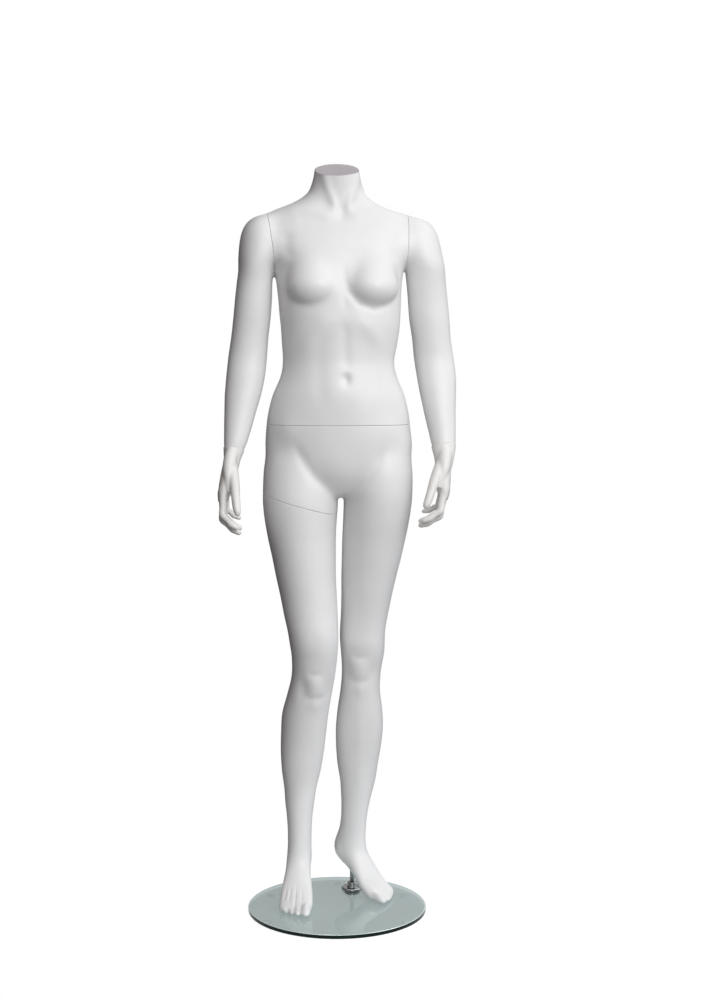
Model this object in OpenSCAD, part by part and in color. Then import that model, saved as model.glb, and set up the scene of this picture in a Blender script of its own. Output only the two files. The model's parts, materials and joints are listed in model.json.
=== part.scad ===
// Full body display mannequin, headless, female, standing on a round glass base.
// Millimetres, +Z up. The origin is on the floor under the centre of the glass,
// the figure faces -Y, so its own right side is at -X.

/* [Base] */
// Diameter of the glass base
glass_d = 380; // [360:5:420]
// Thickness of the glass
glass_t = 8; // [8:1:10]
// Diameter of the support rod
rod_d = 10; // [8:1:10]
// Height of the top end of the support rod
rod_top = 232; // [210:1:240]

/* [Shells] */
// Wall thickness of the hollow shells
wall = 5; // [4:0.5:6]
// Width of the gap that shows at every seam
seam_gap = 0.5; // [0.4:0.1:0.8]
// Thickness of the boards that close the shells
board_t = 12; // [10:1:14]

/* [Fittings] */
// Diameter of the waist spigot
waist_spigot_d = 40; // [36:1:44]
// Diameter of the shoulder spigots
shoulder_spigot_d = 24; // [20:1:26]
// Diameter of the wrist pegs
wrist_peg_d = 14; // [12:1:16]
// Running clearance of a spigot in its bore, on the diameter
fit = 0.1; // [0.06:0.02:0.2]
// Turn that frees the waist fitting
waist_turn = 40; // [30:5:45]
// Turn that frees a shoulder fitting
shoulder_turn = 75; // [60:5:80]
// Slide that frees the right leg
leg_slide = 22; // [18:1:24]

/* [Smoothness] */
// Sides of the trunk outline
trunk_sides = 32; // [24:2:36]
// Sides of the leg outline
leg_sides = 18; // [12:2:22]
// Sides of the arm outline
arm_sides = 16; // [12:2:20]
// Rings between two stations of a form
ring_steps = 2; // [1:1:3]

/* [Hidden] */

BODY_WHITE = "white";
STEEL = "silver";
TIMBER = "burlywood";
RUBBER = "dimgray";
big = 1400;

// ---- Base ----
bumper_t = 3;
glass_top = bumper_t + glass_t;
rod_x = 32;
rod_y = 104;
gasket_t = 1;
flange_d = 46;
flange_t = 4;
collar_d = 20;
collar_h = 16;
glass_hole_d = 14;
glass_bevel = 1;
bumper_d = 18;
bumper_inset = 22;
washer_d = 34;
washer_t = 1;
screw_head_d = 17;
screw_head_t = 1.6;
screw_socket_d = 5;
flange_z = glass_top + gasket_t;
base_screw_d = 8;
set_screw_d = 5;
set_screw_z = flange_z + 11;
rod_foot_depth = 5;
rod_foot_z = flange_z + rod_foot_depth;
knob_d = 9;
knob_t = 5;
knob_play = 0.5;
knob_socket_d = 4;

// ---- Seams ----
waist_z = 1040;
waist_at = [4, 12, waist_z];
neck_at = [0, 0, 1565];
neck_tilt = 20;
thigh_tilt = 15.6;
thigh_at = [-76, 14, 873];
chest_yaw = 7;
left_shoulder_at = [142, 37, 1427];
left_shoulder_tilt = 92.3;
right_shoulder_at = [-139, 1, 1421];
right_shoulder_tilt = -97.6;
armpit_z = 1370;
left_wrist_at = [222, -8, 996];
left_wrist_turn = [-15, -6, 0];
right_wrist_at = [-211, -45, 991];
right_wrist_turn = [-14, 8, 0];
left_hand_turn = [-11, 2, 0];
right_hand_turn = [-10, 10.5, 0];

// ---- Stations of the forms ----
// Each row is [height, left x, right x, front y, back y, squareness, turn about Z].
TRUNK = [
    [1028, -149, 155, -84, 101, 2.3, 2],
    [1060, -145, 152, -84, 90, 2.3, 3],
    [1100, -134, 142, -84, 77, 2.2, 4],
    [1140, -117, 126, -82, 71, 2.1, 5],
    [1170, -112, 120, -80, 70, 2.1, 5],
    [1205, -114, 126, -82, 77, 2.2, 6],
    [1240, -116, 131, -86, 88, 2.3, 6],
    [1268, -119, 133, -87, 94, 2.3, 7],
    [1294, -121, 134, -87, 98, 2.3, 7],
    [1322, -124, 135, -86, 101, 2.3, 7],
    [1350, -128, 138, -83, 104, 2.3, 7],
    [1372, -134, 144, -79, 105, 2.3, 7],
    [1388, -150, 160, -74, 104, 2.3, 7],
    [1405, -163, 173, -69, 102, 2.3, 7],
    [1430, -168, 178, -60, 98, 2.3, 7],
    [1452, -164, 174, -51, 93, 2.2, 7],
    [1466, -158, 165, -44, 88, 2.2, 7],
    [1478, -145, 150, -38, 83, 2.1, 7],
    [1488, -122, 124, -36, 79, 2, 7],
    [1500, -90, 88, -36, 74, 2, 6],
    [1518, -62, 62, -38, 68, 2, 5],
    [1540, -51, 52, -43, 61, 2, 5],
    [1562, -46, 46, -48, 54, 2, 5],
    [1592, -44, 44, -53, 49, 2, 5]
];
PELVIS = [
    [889, -20, 28, -30, 56, 2, 0],
    [898, -42, 50, -45, 82, 2, 0],
    [918, -84, 92, -60, 107, 2.1, 0],
    [943, -126, 134, -72, 116, 2.3, 0],
    [970, -147, 155, -79, 117, 2.3, 0],
    [996, -151, 159, -82, 111, 2.3, 0],
    [1020, -149, 156, -84, 104, 2.3, 1],
    [1048, -147, 153, -84, 94, 2.3, 2]
];
LEFT_LEG = [
    [78, 12, 54, 82, 122, 2, 44],
    [100, 7, 59, 70, 136, 2, 44],
    [130, 5, 61, 66, 138, 2, 44],
    [171, 7, 63, 64, 136, 2, 42],
    [213, 8, 70, 62, 134, 2, 35],
    [256, 6, 82, 54, 131, 2, 25],
    [298, 0, 88, 42, 132, 2.1, 15],
    [341, -3, 95, 30, 132, 2.1, 10],
    [383, -3, 99, 20, 128, 2.1, 8],
    [425, 1, 97, 13, 124, 2.1, 5],
    [467, 7, 92, 8, 115, 2.1, 4],
    [509, 10, 94, 3, 107, 2.1, 3],
    [551, 8, 101, -6, 103, 2.2, 2],
    [575, 6, 102, -12, 102, 2.2, 2],
    [600, 6, 103, -14, 104, 2.2, 2],
    [634, 8, 109, -19, 102, 2.1, 0],
    [675, 9, 117, -29, 103, 2.1, 0],
    [715, 9, 126, -38, 104, 2.1, 0],
    [756, 10, 136, -47, 105, 2.1, 0],
    [797, 11, 145, -55, 106, 2.1, 0],
    [838, 13, 153, -64, 104, 2.1, 0],
    [866, 14, 157, -69, 104, 2.1, 0],
    [884, 14, 159, -72, 108, 2.1, 0],
    [908, 10, 160, -75, 113, 2.2, 0],
    [938, 7, 160, -75, 114, 2.2, 0],
    [966, 9, 157, -71, 108, 2.2, 0],
    [992, 19, 149, -62, 95, 2.1, 0],
    [1014, 42, 128, -42, 72, 2, 0]
];
RIGHT_LEG = [
    [78, -103, -60, 24, 62, 2, -3],
    [100, -108, -54, 8, 76, 2, -3],
    [130, -109, -53, 3, 80, 2, -3],
    [171, -110, -52, 2, 78, 2, -3],
    [213, -112, -50, 1, 74, 2, -3],
    [256, -114, -45, -4, 71, 2, -3],
    [298, -119, -35, -12, 72, 2.1, -2],
    [341, -121, -28, -20, 74, 2.1, 0],
    [383, -120, -23, -30, 73, 2.1, 0],
    [425, -117, -18, -40, 67, 2.1, 0],
    [467, -106, -11, -50, 55, 2.1, 2],
    [509, -96, -4, -60, 43, 2.1, 3],
    [551, -95, 1, -72, 34, 2.2, 4],
    [580, -99, 3, -80, 34, 2.2, 5],
    [606, -103, 3, -82, 37, 2.2, 4],
    [640, -111, 2, -80, 48, 2.1, 3],
    [680, -119, 0, -78, 60, 2.1, 2],
    [720, -128, -2, -78, 71, 2.1, 1],
    [760, -136, -2, -79, 80, 2.1, 0],
    [800, -145, -2, -80, 90, 2.1, 0],
    [840, -152, 0, -81, 96, 2.1, 0],
    [866, -155, 2, -82, 99, 2.1, 0],
    [884, -156, 2, -82, 105, 2.1, 0],
    [908, -156, 1, -80, 112, 2.2, 0],
    [938, -155, -1, -76, 114, 2.2, 0],
    [966, -151, -3, -71, 108, 2.2, 0],
    [992, -143, -13, -62, 95, 2.1, 0],
    [1014, -122, -36, -42, 72, 2, 0]
];
LEFT_ARM = [
    [950, 208, 240, -46, -4, 2, 0],
    [972, 203, 245, -43, 9, 2, 0],
    [996, 197, 249, -37, 18, 2, 0],
    [1025, 190, 251, -31, 32, 2, 0],
    [1060, 182, 251, -23, 46, 2, 0],
    [1100, 175, 251, -14, 60, 2, 0],
    [1140, 168, 251, -5, 70, 2.1, 0],
    [1180, 162, 246, 2, 78, 2.1, 0],
    [1220, 158, 240, 0, 80, 2.1, 0],
    [1260, 152, 237, -4, 81, 2.1, 0],
    [1300, 149, 233, -7, 84, 2.1, 0],
    [1335, 146, 229, -12, 87, 2.1, 3],
    [1360, 143, 227, -17, 91, 2.1, 5],
    [1376, 136, 225, -20, 93, 2.1, 7],
    [1395, 122, 221, -22, 94, 2.1, 7],
    [1420, 114, 216, -21, 93, 2.1, 7],
    [1442, 114, 209, -17, 89, 2.1, 7],
    [1458, 118, 198, -10, 83, 2.1, 7],
    [1469, 124, 185, 0, 74, 2, 7],
    [1476, 136, 168, 14, 60, 2, 7]
];
RIGHT_ARM = [
    [948, -232, -204, -68, -36, 2, 0],
    [970, -233, -197, -71, -27, 2, 0],
    [992, -234, -188, -70, -19, 2, 0],
    [1020, -235, -178, -66, -8, 2, 0],
    [1060, -235, -167, -60, 6, 2, 0],
    [1100, -233, -157, -53, 19, 2, 0],
    [1140, -230, -149, -46, 30, 2.1, 0],
    [1180, -226, -145, -40, 38, 2.1, 0],
    [1220, -220, -142, -41, 40, 2.1, 0],
    [1260, -215, -137, -45, 39, 2.1, 0],
    [1300, -211, -134, -49, 40, 2.1, 0],
    [1335, -207, -133, -53, 44, 2.1, 3],
    [1358, -204, -132, -58, 50, 2.1, 5],
    [1372, -204, -128, -61, 53, 2.1, 7],
    [1390, -204, -114, -63, 54, 2.1, 7],
    [1416, -202, -108, -61, 54, 2.1, 7],
    [1440, -197, -108, -57, 50, 2.1, 7],
    [1455, -189, -112, -50, 44, 2.1, 7],
    [1466, -178, -118, -40, 36, 2, 7],
    [1473, -162, -130, -26, 24, 2, 7]
];
// A foot runs forward from the back of the heel, x is outward, y is the height.
FOOT = [
    [0, -9, 9, 92, 118, 2, 0],
    [4, -18, 18, 80, 132, 2, 0],
    [12, -25, 25, 72, 144, 2.1, 0],
    [28, -28, 28, 66, 150, 2.2, 0],
    [50, -29, 29, 59, 144, 2.2, 0],
    [75, -30, 30, 45, 118, 2.1, 0],
    [98, -32, 32, 28, 84, 2.1, 0],
    [118, -35, 35, 16, 57, 2.2, 0],
    [136, -36, 35, 12.5, 42, 2.3, 0],
    [148, -35, 33, 12.5, 34, 2.3, 0],
    [156, -31, 26, 13, 29, 2.2, 0]
];
// Each toe is [sideways place, length from the heel, half width, half height].
TOES = [
    [-23.5, 180, 11.5, 9.5],
    [-6, 176, 7.2, 7.5],
    [7, 169, 6.8, 7],
    [19, 160, 6.4, 6.6],
    [29.5, 150, 6.4, 6.4]
];
toe_root = 136;
toe_sides = 8;
sole_z = 12.5;
left_heel = [-4, 139, 0];
left_foot_turn = 44;
right_heel = [-80, 88, 0];
right_foot_turn = -3;

// The palm hangs down from the wrist, -x is its back and -y is the thumb side.
PALM = [
    [-114, -13, 3, -34, 33, 2.4, 0],
    [-104, -15, 7, -38, 36, 2.4, 0],
    [-85, -17, 12, -40, 37, 2.3, 0],
    [-62, -18, 15, -38, 34, 2.2, 0],
    [-40, -18, 16, -31, 29, 2.1, 0],
    [-18, -18, 17, -26, 25, 2, 0],
    [0, -19, 18, -24, 24, 2, 0]
];
// Each finger is [knuckle point, three bone lengths, three bend angles, radius].
FINGERS = [
    [[-4, -29, -97], [44, 26, 19], [10, 52, 66], 8.6],
    [[-5, -10, -101], [48, 29, 20], [11, 56, 70], 8.8],
    [[-4, 9, -97], [44, 27, 19], [12, 58, 72], 8.4],
    [[-2, 27, -90], [34, 20, 17], [13, 60, 74], 7.4]
];
// Each row of the thumb is [centre, side radius, thickness radius].
THUMB = [
    [[0, -16, -28], 12, 10],
    [[8, -28, -52], 14, 12],
    [[17, -39, -78], 12, 11],
    [[24, -46, -102], 10, 9.5],
    [[30, -50, -122], 9.5, 8.5],
    [[34, -52, -133], 8, 7],
    [[36, -53, -139], 4, 3.5]
];

// Soft bumps on the forms: [x, height, width, reach up, reach down, push, side],
// with the side -1 on the front and +1 on the back.
TRUNK_BUMPS = [
    [0, 1325, 84, 90, 60, 12, -1],
    [0, 1100, 60, 50, 50, 5, -1],
    [0, 1200, 9, 120, 60, -2.5, -1],
    [0, 1230, 12, 200, 120, -3.5, 1],
    [-70, 1385, 45, 50, 60, 7, 1],
    [70, 1385, 45, 50, 60, 7, 1],
    [0, 1489, 12, 14, 18, -3.5, -1]
];
PELVIS_BUMPS = [
    [-70, 950, 54, 50, 40, 12, 1],
    [70, 950, 54, 50, 40, 12, 1],
    [0, 950, 16, 60, 60, -12, 1],
    [0, 915, 34, 34, 26, 5, -1]
];
LEG_BUMPS = [
    [0, 944, 52, 52, 36, 11, 1]
];
NO_BUMPS = [];

// ---- Form functions ----
function sign_power(v, e) = sign(v) * pow(abs(v), e);

// Smooth value of column c between station i and the next one.
function slope(s, i, c) =
    let (a = max(i - 1, 0), b = min(i + 1, len(s) - 1))
    (s[b][c] - s[a][c]) / (s[b][0] - s[a][0]);
function smooth_value(s, i, c, u) =
    let (h = s[i + 1][0] - s[i][0], u2 = u * u, u3 = u2 * u)
    (2 * u3 - 3 * u2 + 1) * s[i][c] + (u3 - 2 * u2 + u) * h * slope(s, i, c)
    + (3 * u2 - 2 * u3) * s[i + 1][c] + (u3 - u2) * h * slope(s, i + 1, c);
function station(s, i, u) =
    [for (c = [0 : 6]) c == 0 ? s[i][0] + u * (s[i + 1][0] - s[i][0]) : smooth_value(s, i, c, u)];
function stations(s, steps) =
    [for (i = [0 : len(s) - 2]) for (k = [0 : steps - 1]) station(s, i, k / steps), s[len(s) - 1]];

bump_edge = 2.6;
function reach(d, up, down) = d > 0 ? up : down;
function bump_push(x, y, z, b) =
    sign(y) != b[6] ? 0
    : let (r = norm([(x - b[0]) / b[2], (z - b[1]) / reach(z - b[1], b[3], b[4])]))
      b[5] * exp(-pow(r, bump_edge));
function push(x, y, z, bumps, i = 0) =
    i >= len(bumps) ? 0
    : bump_push(x, y, z, bumps[i]) * bumps[i][6] + push(x, y, z, bumps, i + 1);

// An inset form also ends short of the full one, by more the nearer its end is.
end_reach = 26;
end_pull = 1.4;
function pulled(z, low, high, inset) =
    z + inset * end_pull * (max(0, 1 - (z - low) / end_reach) - max(0, 1 - (high - z) / end_reach));

// One horizontal ring of a form, moved in by the inset.
function ring(v, sides, inset, bumps, z) =
    let (cx = (v[1] + v[2]) / 2, cy = (v[3] + v[4]) / 2,
         a = max((v[2] - v[1]) / 2 - inset, 1), b = max((v[4] - v[3]) / 2 - inset, 1), e = 2 / v[5])
    [for (k = [0 : sides - 1])
        let (t = 360 * k / sides,
             x = a * sign_power(cos(t), e), y0 = b * sign_power(sin(t), e),
             y = y0 + push(x, y0, v[0], bumps))
        [cx + x * cos(v[6]) - y * sin(v[6]), cy + x * sin(v[6]) + y * cos(v[6]), z]];

// Skin over a stack of rings that each have the same number of sides.
module skin(rings) {
    n = len(rings[0]);
    m = len(rings);
    points = [for (r = rings) for (p = r) p];
    walls = [for (i = [0 : m - 2]) for (k = [0 : n - 1])
        let (a = i * n + k, b = i * n + (k + 1) % n)
        each [[a, a + n, b], [b, a + n, b + n]]];
    low = [[for (k = [0 : n - 1]) k]];
    high = [[for (k = [n - 1 : -1 : 0]) (m - 1) * n + k]];
    polyhedron(points, concat(walls, low, high));
}

module form(s, sides, inset = 0, bumps = NO_BUMPS, steps = ring_steps) {
    low = s[0][0];
    high = s[len(s) - 1][0];
    skin([for (v = stations(s, steps)) ring(v, sides, inset, bumps, pulled(v[0], low, high, inset))]);
}

// Round rod through a list of [centre, side radius, thickness radius].
// The side radius lies along Y, the thickness across the path.
module bent_rod(rows, sides) {
    last = len(rows) - 1;
    skin([for (i = [0 : last])
        let (a = rows[max(i - 1, 0)][0], b = rows[min(i + 1, last)][0],
             t = (b - a) / norm(b - a), side = [0, 1, 0],
             n0 = cross(t, side), n = n0 / norm(n0), s1 = cross(n, t))
        [for (k = [0 : sides - 1])
            let (w = 360 * k / sides)
            rows[i][0] + s1 * rows[i][1] * cos(w) + n * rows[i][2] * sin(w)]]);
}

// ---- Planes ----
// Everything on the far side of the plane z = from, in the local frame.
module beyond(from) {
    translate([-big / 2, -big / 2, from]) cube([big, big, big]);
}

module at_waist() {
    translate(waist_at) rotate([180, 0, 0]) children();
}

module at_thigh() {
    translate(thigh_at) rotate([0, thigh_tilt, 0]) children();
}

module at_shoulder(side) {
    left = side == "left";
    translate(left ? left_shoulder_at : right_shoulder_at)
        rotate([0, 0, chest_yaw])
        rotate([0, left ? left_shoulder_tilt : right_shoulder_tilt, 0])
        children();
}

module at_wrist(side) {
    left = side == "left";
    translate(left ? left_wrist_at : right_wrist_at)
        rotate(left ? left_wrist_turn : right_wrist_turn)
        rotate([180, 0, 0])
        children();
}

module at_neck() {
    translate(neck_at) rotate([neck_tilt, 0, 0]) children();
}

// ---- Body forms ----
module trunk_form(inset = 0, coarse = false) {
    form(TRUNK, coarse ? 16 : trunk_sides, inset, coarse ? NO_BUMPS : TRUNK_BUMPS, coarse ? 1 : ring_steps);
}

// Both breasts: full and round below, running out into the chest above.
BREAST_FULL = [55, 64, 47];
BREAST_TOP = [42, 20, 24];
module breasts(inset = 0, coarse = false) {
    facets = coarse ? 12 : 22;
    translate([6, 5, 0]) rotate([0, 0, chest_yaw])
        for (m = [0, 1]) mirror([m, 0, 0]) hull() {
            translate([63, -54, 1323]) scale(BREAST_FULL - inset * [1, 1, 1]) sphere(1, $fn = facets);
            translate([60, -50, 1402]) scale(BREAST_TOP - inset * [1, 1, 1]) sphere(1, $fn = facets / 2);
        }
}

module arm_form(side, inset = 0, coarse = false) {
    form(side == "left" ? LEFT_ARM : RIGHT_ARM, coarse ? 10 : arm_sides, inset);
}

module above_armpit() {
    translate([-big / 2, -big / 2, armpit_z]) cube([big, big, big / 2]);
}

// Trunk with the roots of both arms, before it is cut at the seams.
module upper_body(inset = 0, coarse = false) {
    trunk_form(inset, coarse);
    breasts(inset, coarse);
    intersection() {
        union() {
            arm_form("left", inset, coarse);
            arm_form("right", inset, coarse);
        }
        above_armpit();
    }
}

// Everything outside a shoulder seam, from a little below the armpit upwards.
module beyond_shoulder(side) {
    intersection() {
        at_shoulder(side) beyond(-seam_gap / 2);
        translate([0, 0, -90]) above_armpit();
    }
}

// One arm with the end of the shoulder, before it is cut at the seams.
module whole_arm(side, inset = 0, coarse = false) {
    arm_form(side, inset, coarse);
    intersection() {
        trunk_form(inset, coarse);
        above_armpit();
        at_shoulder(side) beyond(-1);
    }
}

module toe(place, tip, half_w, half_h) {
    z = sole_z + half_h;
    rows = [[toe_root, 0.8], [toe_root + 8, 0.95], [tip - 16, 0.9],
            [tip - 8, 1], [tip - 3, 0.8], [tip, 0.35]];
    skin([for (r = rows)
        [for (k = [0 : toe_sides - 1])
            let (w = 360 * k / toe_sides)
            [place + half_w * r[1] * cos(w), z + half_h * r[1] * sin(w), r[0]]]]);
}

module foot(inset = 0, coarse = false) {
    form(FOOT, coarse ? 10 : 14, inset, NO_BUMPS, coarse ? 1 : ring_steps);
    if (inset == 0) {
        for (t = TOES) toe(t[0], t[1], t[2], t[3]);
    }
}

module place_foot(side) {
    left = side == "left";
    translate(left ? left_heel : right_heel)
        rotate([0, 0, left ? left_foot_turn : right_foot_turn])
        mirror([left ? 0 : 1, 0, 0])
        rotate([90, 0, 0])
        children();
}

module leg_form(side, inset = 0, coarse = false) {
    form(side == "left" ? LEFT_LEG : RIGHT_LEG, coarse ? 12 : leg_sides, inset, LEG_BUMPS,
         coarse ? 1 : ring_steps);
    place_foot(side) foot(inset, coarse);
}

module pelvis_form(inset = 0, coarse = false) {
    form(PELVIS, coarse ? 16 : trunk_sides, inset, PELVIS_BUMPS, coarse ? 1 : ring_steps);
}

// Pelvis with both legs, before it is cut at the seams.
module lower_body(inset = 0, coarse = false) {
    pelvis_form(inset, coarse);
    leg_form("left", inset, coarse);
    leg_form("right", inset, coarse);
}

// Space below the thigh seam that belongs to the right leg.
module right_leg_space(shift) {
    intersection() {
        at_thigh() translate([0, 0, -shift]) mirror([0, 0, 1]) beyond(0);
        translate([-big + 5, -big / 2, 0]) cube([big, big, big]);
    }
}

// A node's whole skin is one mesh, so that its round holes stay true bores.
module one_mesh() {
    minkowski() {
        children();
    }
}

// ---- Fittings ----
// Twist fitting: the socket is behind the seam (z < 0), the plug is before it (z > 0).
module twist_plug(d, plate_d, plate_t, depth, lug) {
    lug_t = lug[2];
    difference() {
        union() {
            translate([0, 0, seam_gap / 2]) cylinder(d = plate_d, h = plate_t, $fn = 64);
            translate([0, 0, -depth - lug_t]) cylinder(d = d, h = depth + lug_t + 1, $fn = 48);
            translate([-lug[0] / 2, -lug[1] / 2, -depth - lug_t]) cube([lug[0], lug[1], lug_t]);
        }
        screw_holes(plate_d, -1, plate_t + 2);
    }
}

module twist_socket(d, plate_d, plate_t, sleeve_d, depth, lug, release) {
    difference() {
        union() {
            translate([0, 0, -seam_gap / 2 - plate_t]) cylinder(d = plate_d, h = plate_t, $fn = 64);
            translate([0, 0, -depth + lug_play])
                cylinder(d = sleeve_d, h = depth - lug_play - seam_gap / 2, $fn = 64);
        }
        translate([0, 0, -depth - 1]) cylinder(d = d + fit, h = depth + 2, $fn = 48);
        rotate([0, 0, release])
            translate([-lug[0] / 2 - lug_play, -lug[1] / 2 - lug_play, -depth - 1])
            cube([lug[0] + 2 * lug_play, lug[1] + 2 * lug_play, depth + 2]);
        screw_holes(plate_d, -plate_t - 2, plate_t + 4);
    }
}

module around(plate_d) {
    for (a = [45 : 90 : 315]) {
        rotate([0, 0, a]) translate([plate_d / 2 - screw_inset, 0, 0]) children();
    }
}

module screw_holes(plate_d, from, depth) {
    around(plate_d) translate([0, 0, from]) cylinder(d = screw_hole_d, h = depth, $fn = 24);
}

// Screws with flat heads: the heads are in the plate, the shanks in the board.
module screws(plate_d, direction) {
    mirror([0, 0, direction < 0 ? 1 : 0])
        translate([0, 0, seam_gap / 2])
        around(plate_d) cylinder(d = screw_d, h = screw_len, $fn = 24);
}

screw_d = 4;
screw_hole_d = 4.1;
screw_len = 11;
screw_inset = 6;
lug_play = 0.4;

waist_plate_d = 112;
waist_plate_t = 4;
waist_sleeve_d = 80;
waist_depth = 20;
waist_lug = [64, 12, 7];
shoulder_plate_d = 66;
shoulder_plate_t = 3;
shoulder_sleeve_d = 46;
shoulder_depth = 18;
shoulder_lug = [36, 8, 5];
pocket_play = 0.4;
bed_play = 0.05;

// Endless sheet across a seam's own frame, for the boards that close the shells.
module slab(from, thick) {
    translate([-big / 4, -big / 4, from]) cube([big / 2, big / 2, thick]);
}

board_inset = wall + 0.4;

// ---- Base ----
module glass_base() {
    color("lightcyan", 0.6)
        difference() {
            translate([0, 0, bumper_t])
                rotate_extrude($fn = 180)
                polygon([[0, 0], [glass_d / 2 - glass_bevel, 0], [glass_d / 2, glass_bevel],
                         [glass_d / 2, glass_t - glass_bevel], [glass_d / 2 - glass_bevel, glass_t],
                         [0, glass_t]]);
            translate([rod_x, rod_y, 0]) cylinder(d = glass_hole_d, h = glass_top + 1, $fn = 48);
        }
}

module base_bumpers() {
    color("whitesmoke")
        for (a = [30 : 60 : 330]) {
            rotate([0, 0, a])
                translate([glass_d / 2 - bumper_inset, 0, 0])
                cylinder(d = bumper_d, h = bumper_t, $fn = 40);
        }
}

module clamp_washer() {
    color(STEEL)
        translate([rod_x, rod_y, bumper_t - washer_t])
        difference() {
            cylinder(d = washer_d, h = washer_t, $fn = 48);
            translate([0, 0, -1]) cylinder(d = base_screw_d + 2 * fit, h = washer_t + 2, $fn = 32);
        }
}

module base_screw() {
    head_z = bumper_t - washer_t - screw_head_t;
    color(STEEL)
        translate([rod_x, rod_y, head_z])
        difference() {
            union() {
                cylinder(d = screw_head_d, h = screw_head_t, $fn = 40);
                cylinder(d = base_screw_d, h = rod_foot_z - bed_play - head_z, $fn = 32);
            }
            translate([0, 0, -1]) cylinder(d = screw_socket_d, h = screw_head_t + 1, $fn = 6);
        }
}

module glass_bush() {
    color("whitesmoke")
        translate([rod_x, rod_y, bumper_t])
        difference() {
            cylinder(d = glass_hole_d - fit, h = glass_t, $fn = 48);
            translate([0, 0, -1]) cylinder(d = base_screw_d + fit, h = glass_t + 2, $fn = 32);
        }
}

module flange_gasket() {
    color(RUBBER)
        translate([rod_x, rod_y, glass_top])
        difference() {
            cylinder(d = flange_d - 2, h = gasket_t, $fn = 64);
            translate([0, 0, -1]) cylinder(d = base_screw_d + 2 * fit, h = gasket_t + 2, $fn = 32);
        }
}

module base_flange() {
    edge = 1;
    color(STEEL)
        translate([rod_x, rod_y, flange_z])
        difference() {
            union() {
                cylinder(d = flange_d, h = flange_t - edge, $fn = 96);
                translate([0, 0, flange_t - edge])
                    cylinder(d1 = flange_d, d2 = flange_d - 4 * edge, h = edge, $fn = 96);
                cylinder(d = collar_d, h = collar_h, $fn = 64);
            }
            translate([0, 0, -1]) cylinder(d = base_screw_d + fit, h = rod_foot_depth + 2, $fn = 32);
            translate([0, 0, rod_foot_depth]) cylinder(d = rod_d + fit, h = collar_h, $fn = 48);
            translate([0, 0, set_screw_z - flange_z])
                rotate([0, -90, 0])
                cylinder(d = set_screw_d + fit, h = collar_d, $fn = 32);
        }
}

module rod_set_screw() {
    color(STEEL)
        translate([rod_x, rod_y, set_screw_z])
        rotate([0, -90, 0])
        difference() {
            union() {
                translate([0, 0, rod_d / 2 + knob_play])
                    cylinder(d = set_screw_d, h = collar_d / 2 - rod_d / 2 + knob_play, $fn = 32);
                translate([0, 0, collar_d / 2 + knob_play]) cylinder(d = knob_d, h = knob_t, $fn = 40);
            }
            translate([0, 0, collar_d / 2 + knob_play + knob_t / 2])
                cylinder(d = knob_socket_d, h = knob_t, $fn = 6);
        }
}

module support_rod() {
    color(STEEL)
        translate([rod_x, rod_y, rod_foot_z])
        cylinder(d = rod_d, h = rod_top - rod_foot_z, $fn = 48);
}

// ---- Lower body ----
socket_wall = 3;
socket_d = rod_d + 2 * socket_wall;
socket_foot_z = 62;
socket_top_z = rod_top + 5;
socket_hole_z = 26;
socket_hole_len = 130;
ankle_block_z = 176;
ankle_block_t = 48;

module hips_left_leg_shell() {
    color(BODY_WHITE)
        difference() {
            one_mesh()
                difference() {
                    union() {
                        leg_form("left");
                        difference() {
                            union() {
                                pelvis_form();
                                leg_form("right");
                            }
                            right_leg_space(-seam_gap / 2);
                        }
                    }
                    union() lower_body(wall, true);
                    translate([0, 0, waist_z - seam_gap / 2]) beyond(0);
                }
            translate([rod_x, rod_y, socket_hole_z])
                cylinder(d = socket_d + fit, h = socket_hole_len, $fn = 48);
        }
}

module rod_socket() {
    color(STEEL)
        translate([rod_x, rod_y, socket_foot_z])
        difference() {
            cylinder(d = socket_d, h = socket_top_z - socket_foot_z, $fn = 48);
            translate([0, 0, -1])
                cylinder(d = rod_d + fit, h = rod_top + bed_play - socket_foot_z + 1, $fn = 48);
        }
}

module ankle_block() {
    color(TIMBER)
        difference() {
            one_mesh()
                intersection() {
                    leg_form("left", board_inset, true);
                    translate([0, 0, ankle_block_z]) slab(0, ankle_block_t);
                }
            translate([rod_x, rod_y, ankle_block_z - 1])
                cylinder(d = socket_d + fit, h = ankle_block_t + 2, $fn = 48);
        }
}

module hips_waist_board() {
    color(TIMBER)
        difference() {
            one_mesh()
                intersection() {
                    lower_body(board_inset, true);
                    translate([0, 0, waist_z - seam_gap / 2 - board_t]) slab(0, board_t);
                }
            at_waist() plug_pocket(waist_plate_d, waist_plate_t);
        }
}

// Recess for a plug's plate with the holes for its screws.
module plug_pocket(plate_d, plate_t) {
    translate([0, 0, -1])
        cylinder(d = plate_d + pocket_play, h = 1 + seam_gap / 2 + plate_t + bed_play, $fn = 64);
    screw_holes(plate_d, 0, screw_len + 1);
}

// Recess for a socket's plate with the hole for its sleeve.
module socket_pocket(plate_d, plate_t, sleeve_d, thick) {
    translate([0, 0, -seam_gap / 2 - plate_t - bed_play])
        cylinder(d = plate_d + pocket_play, h = plate_t + 2, $fn = 64);
    translate([0, 0, -thick - 2]) cylinder(d = sleeve_d + pocket_play, h = thick + 4, $fn = 64);
    screw_holes(plate_d, -screw_len - 1, screw_len + 2);
}

module waist_plug() {
    color(STEEL)
        at_waist()
        twist_plug(waist_spigot_d, waist_plate_d, waist_plate_t, waist_depth, waist_lug);
}

module waist_plug_screws() {
    color(STEEL) at_waist() screws(waist_plate_d, 1);
}

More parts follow.
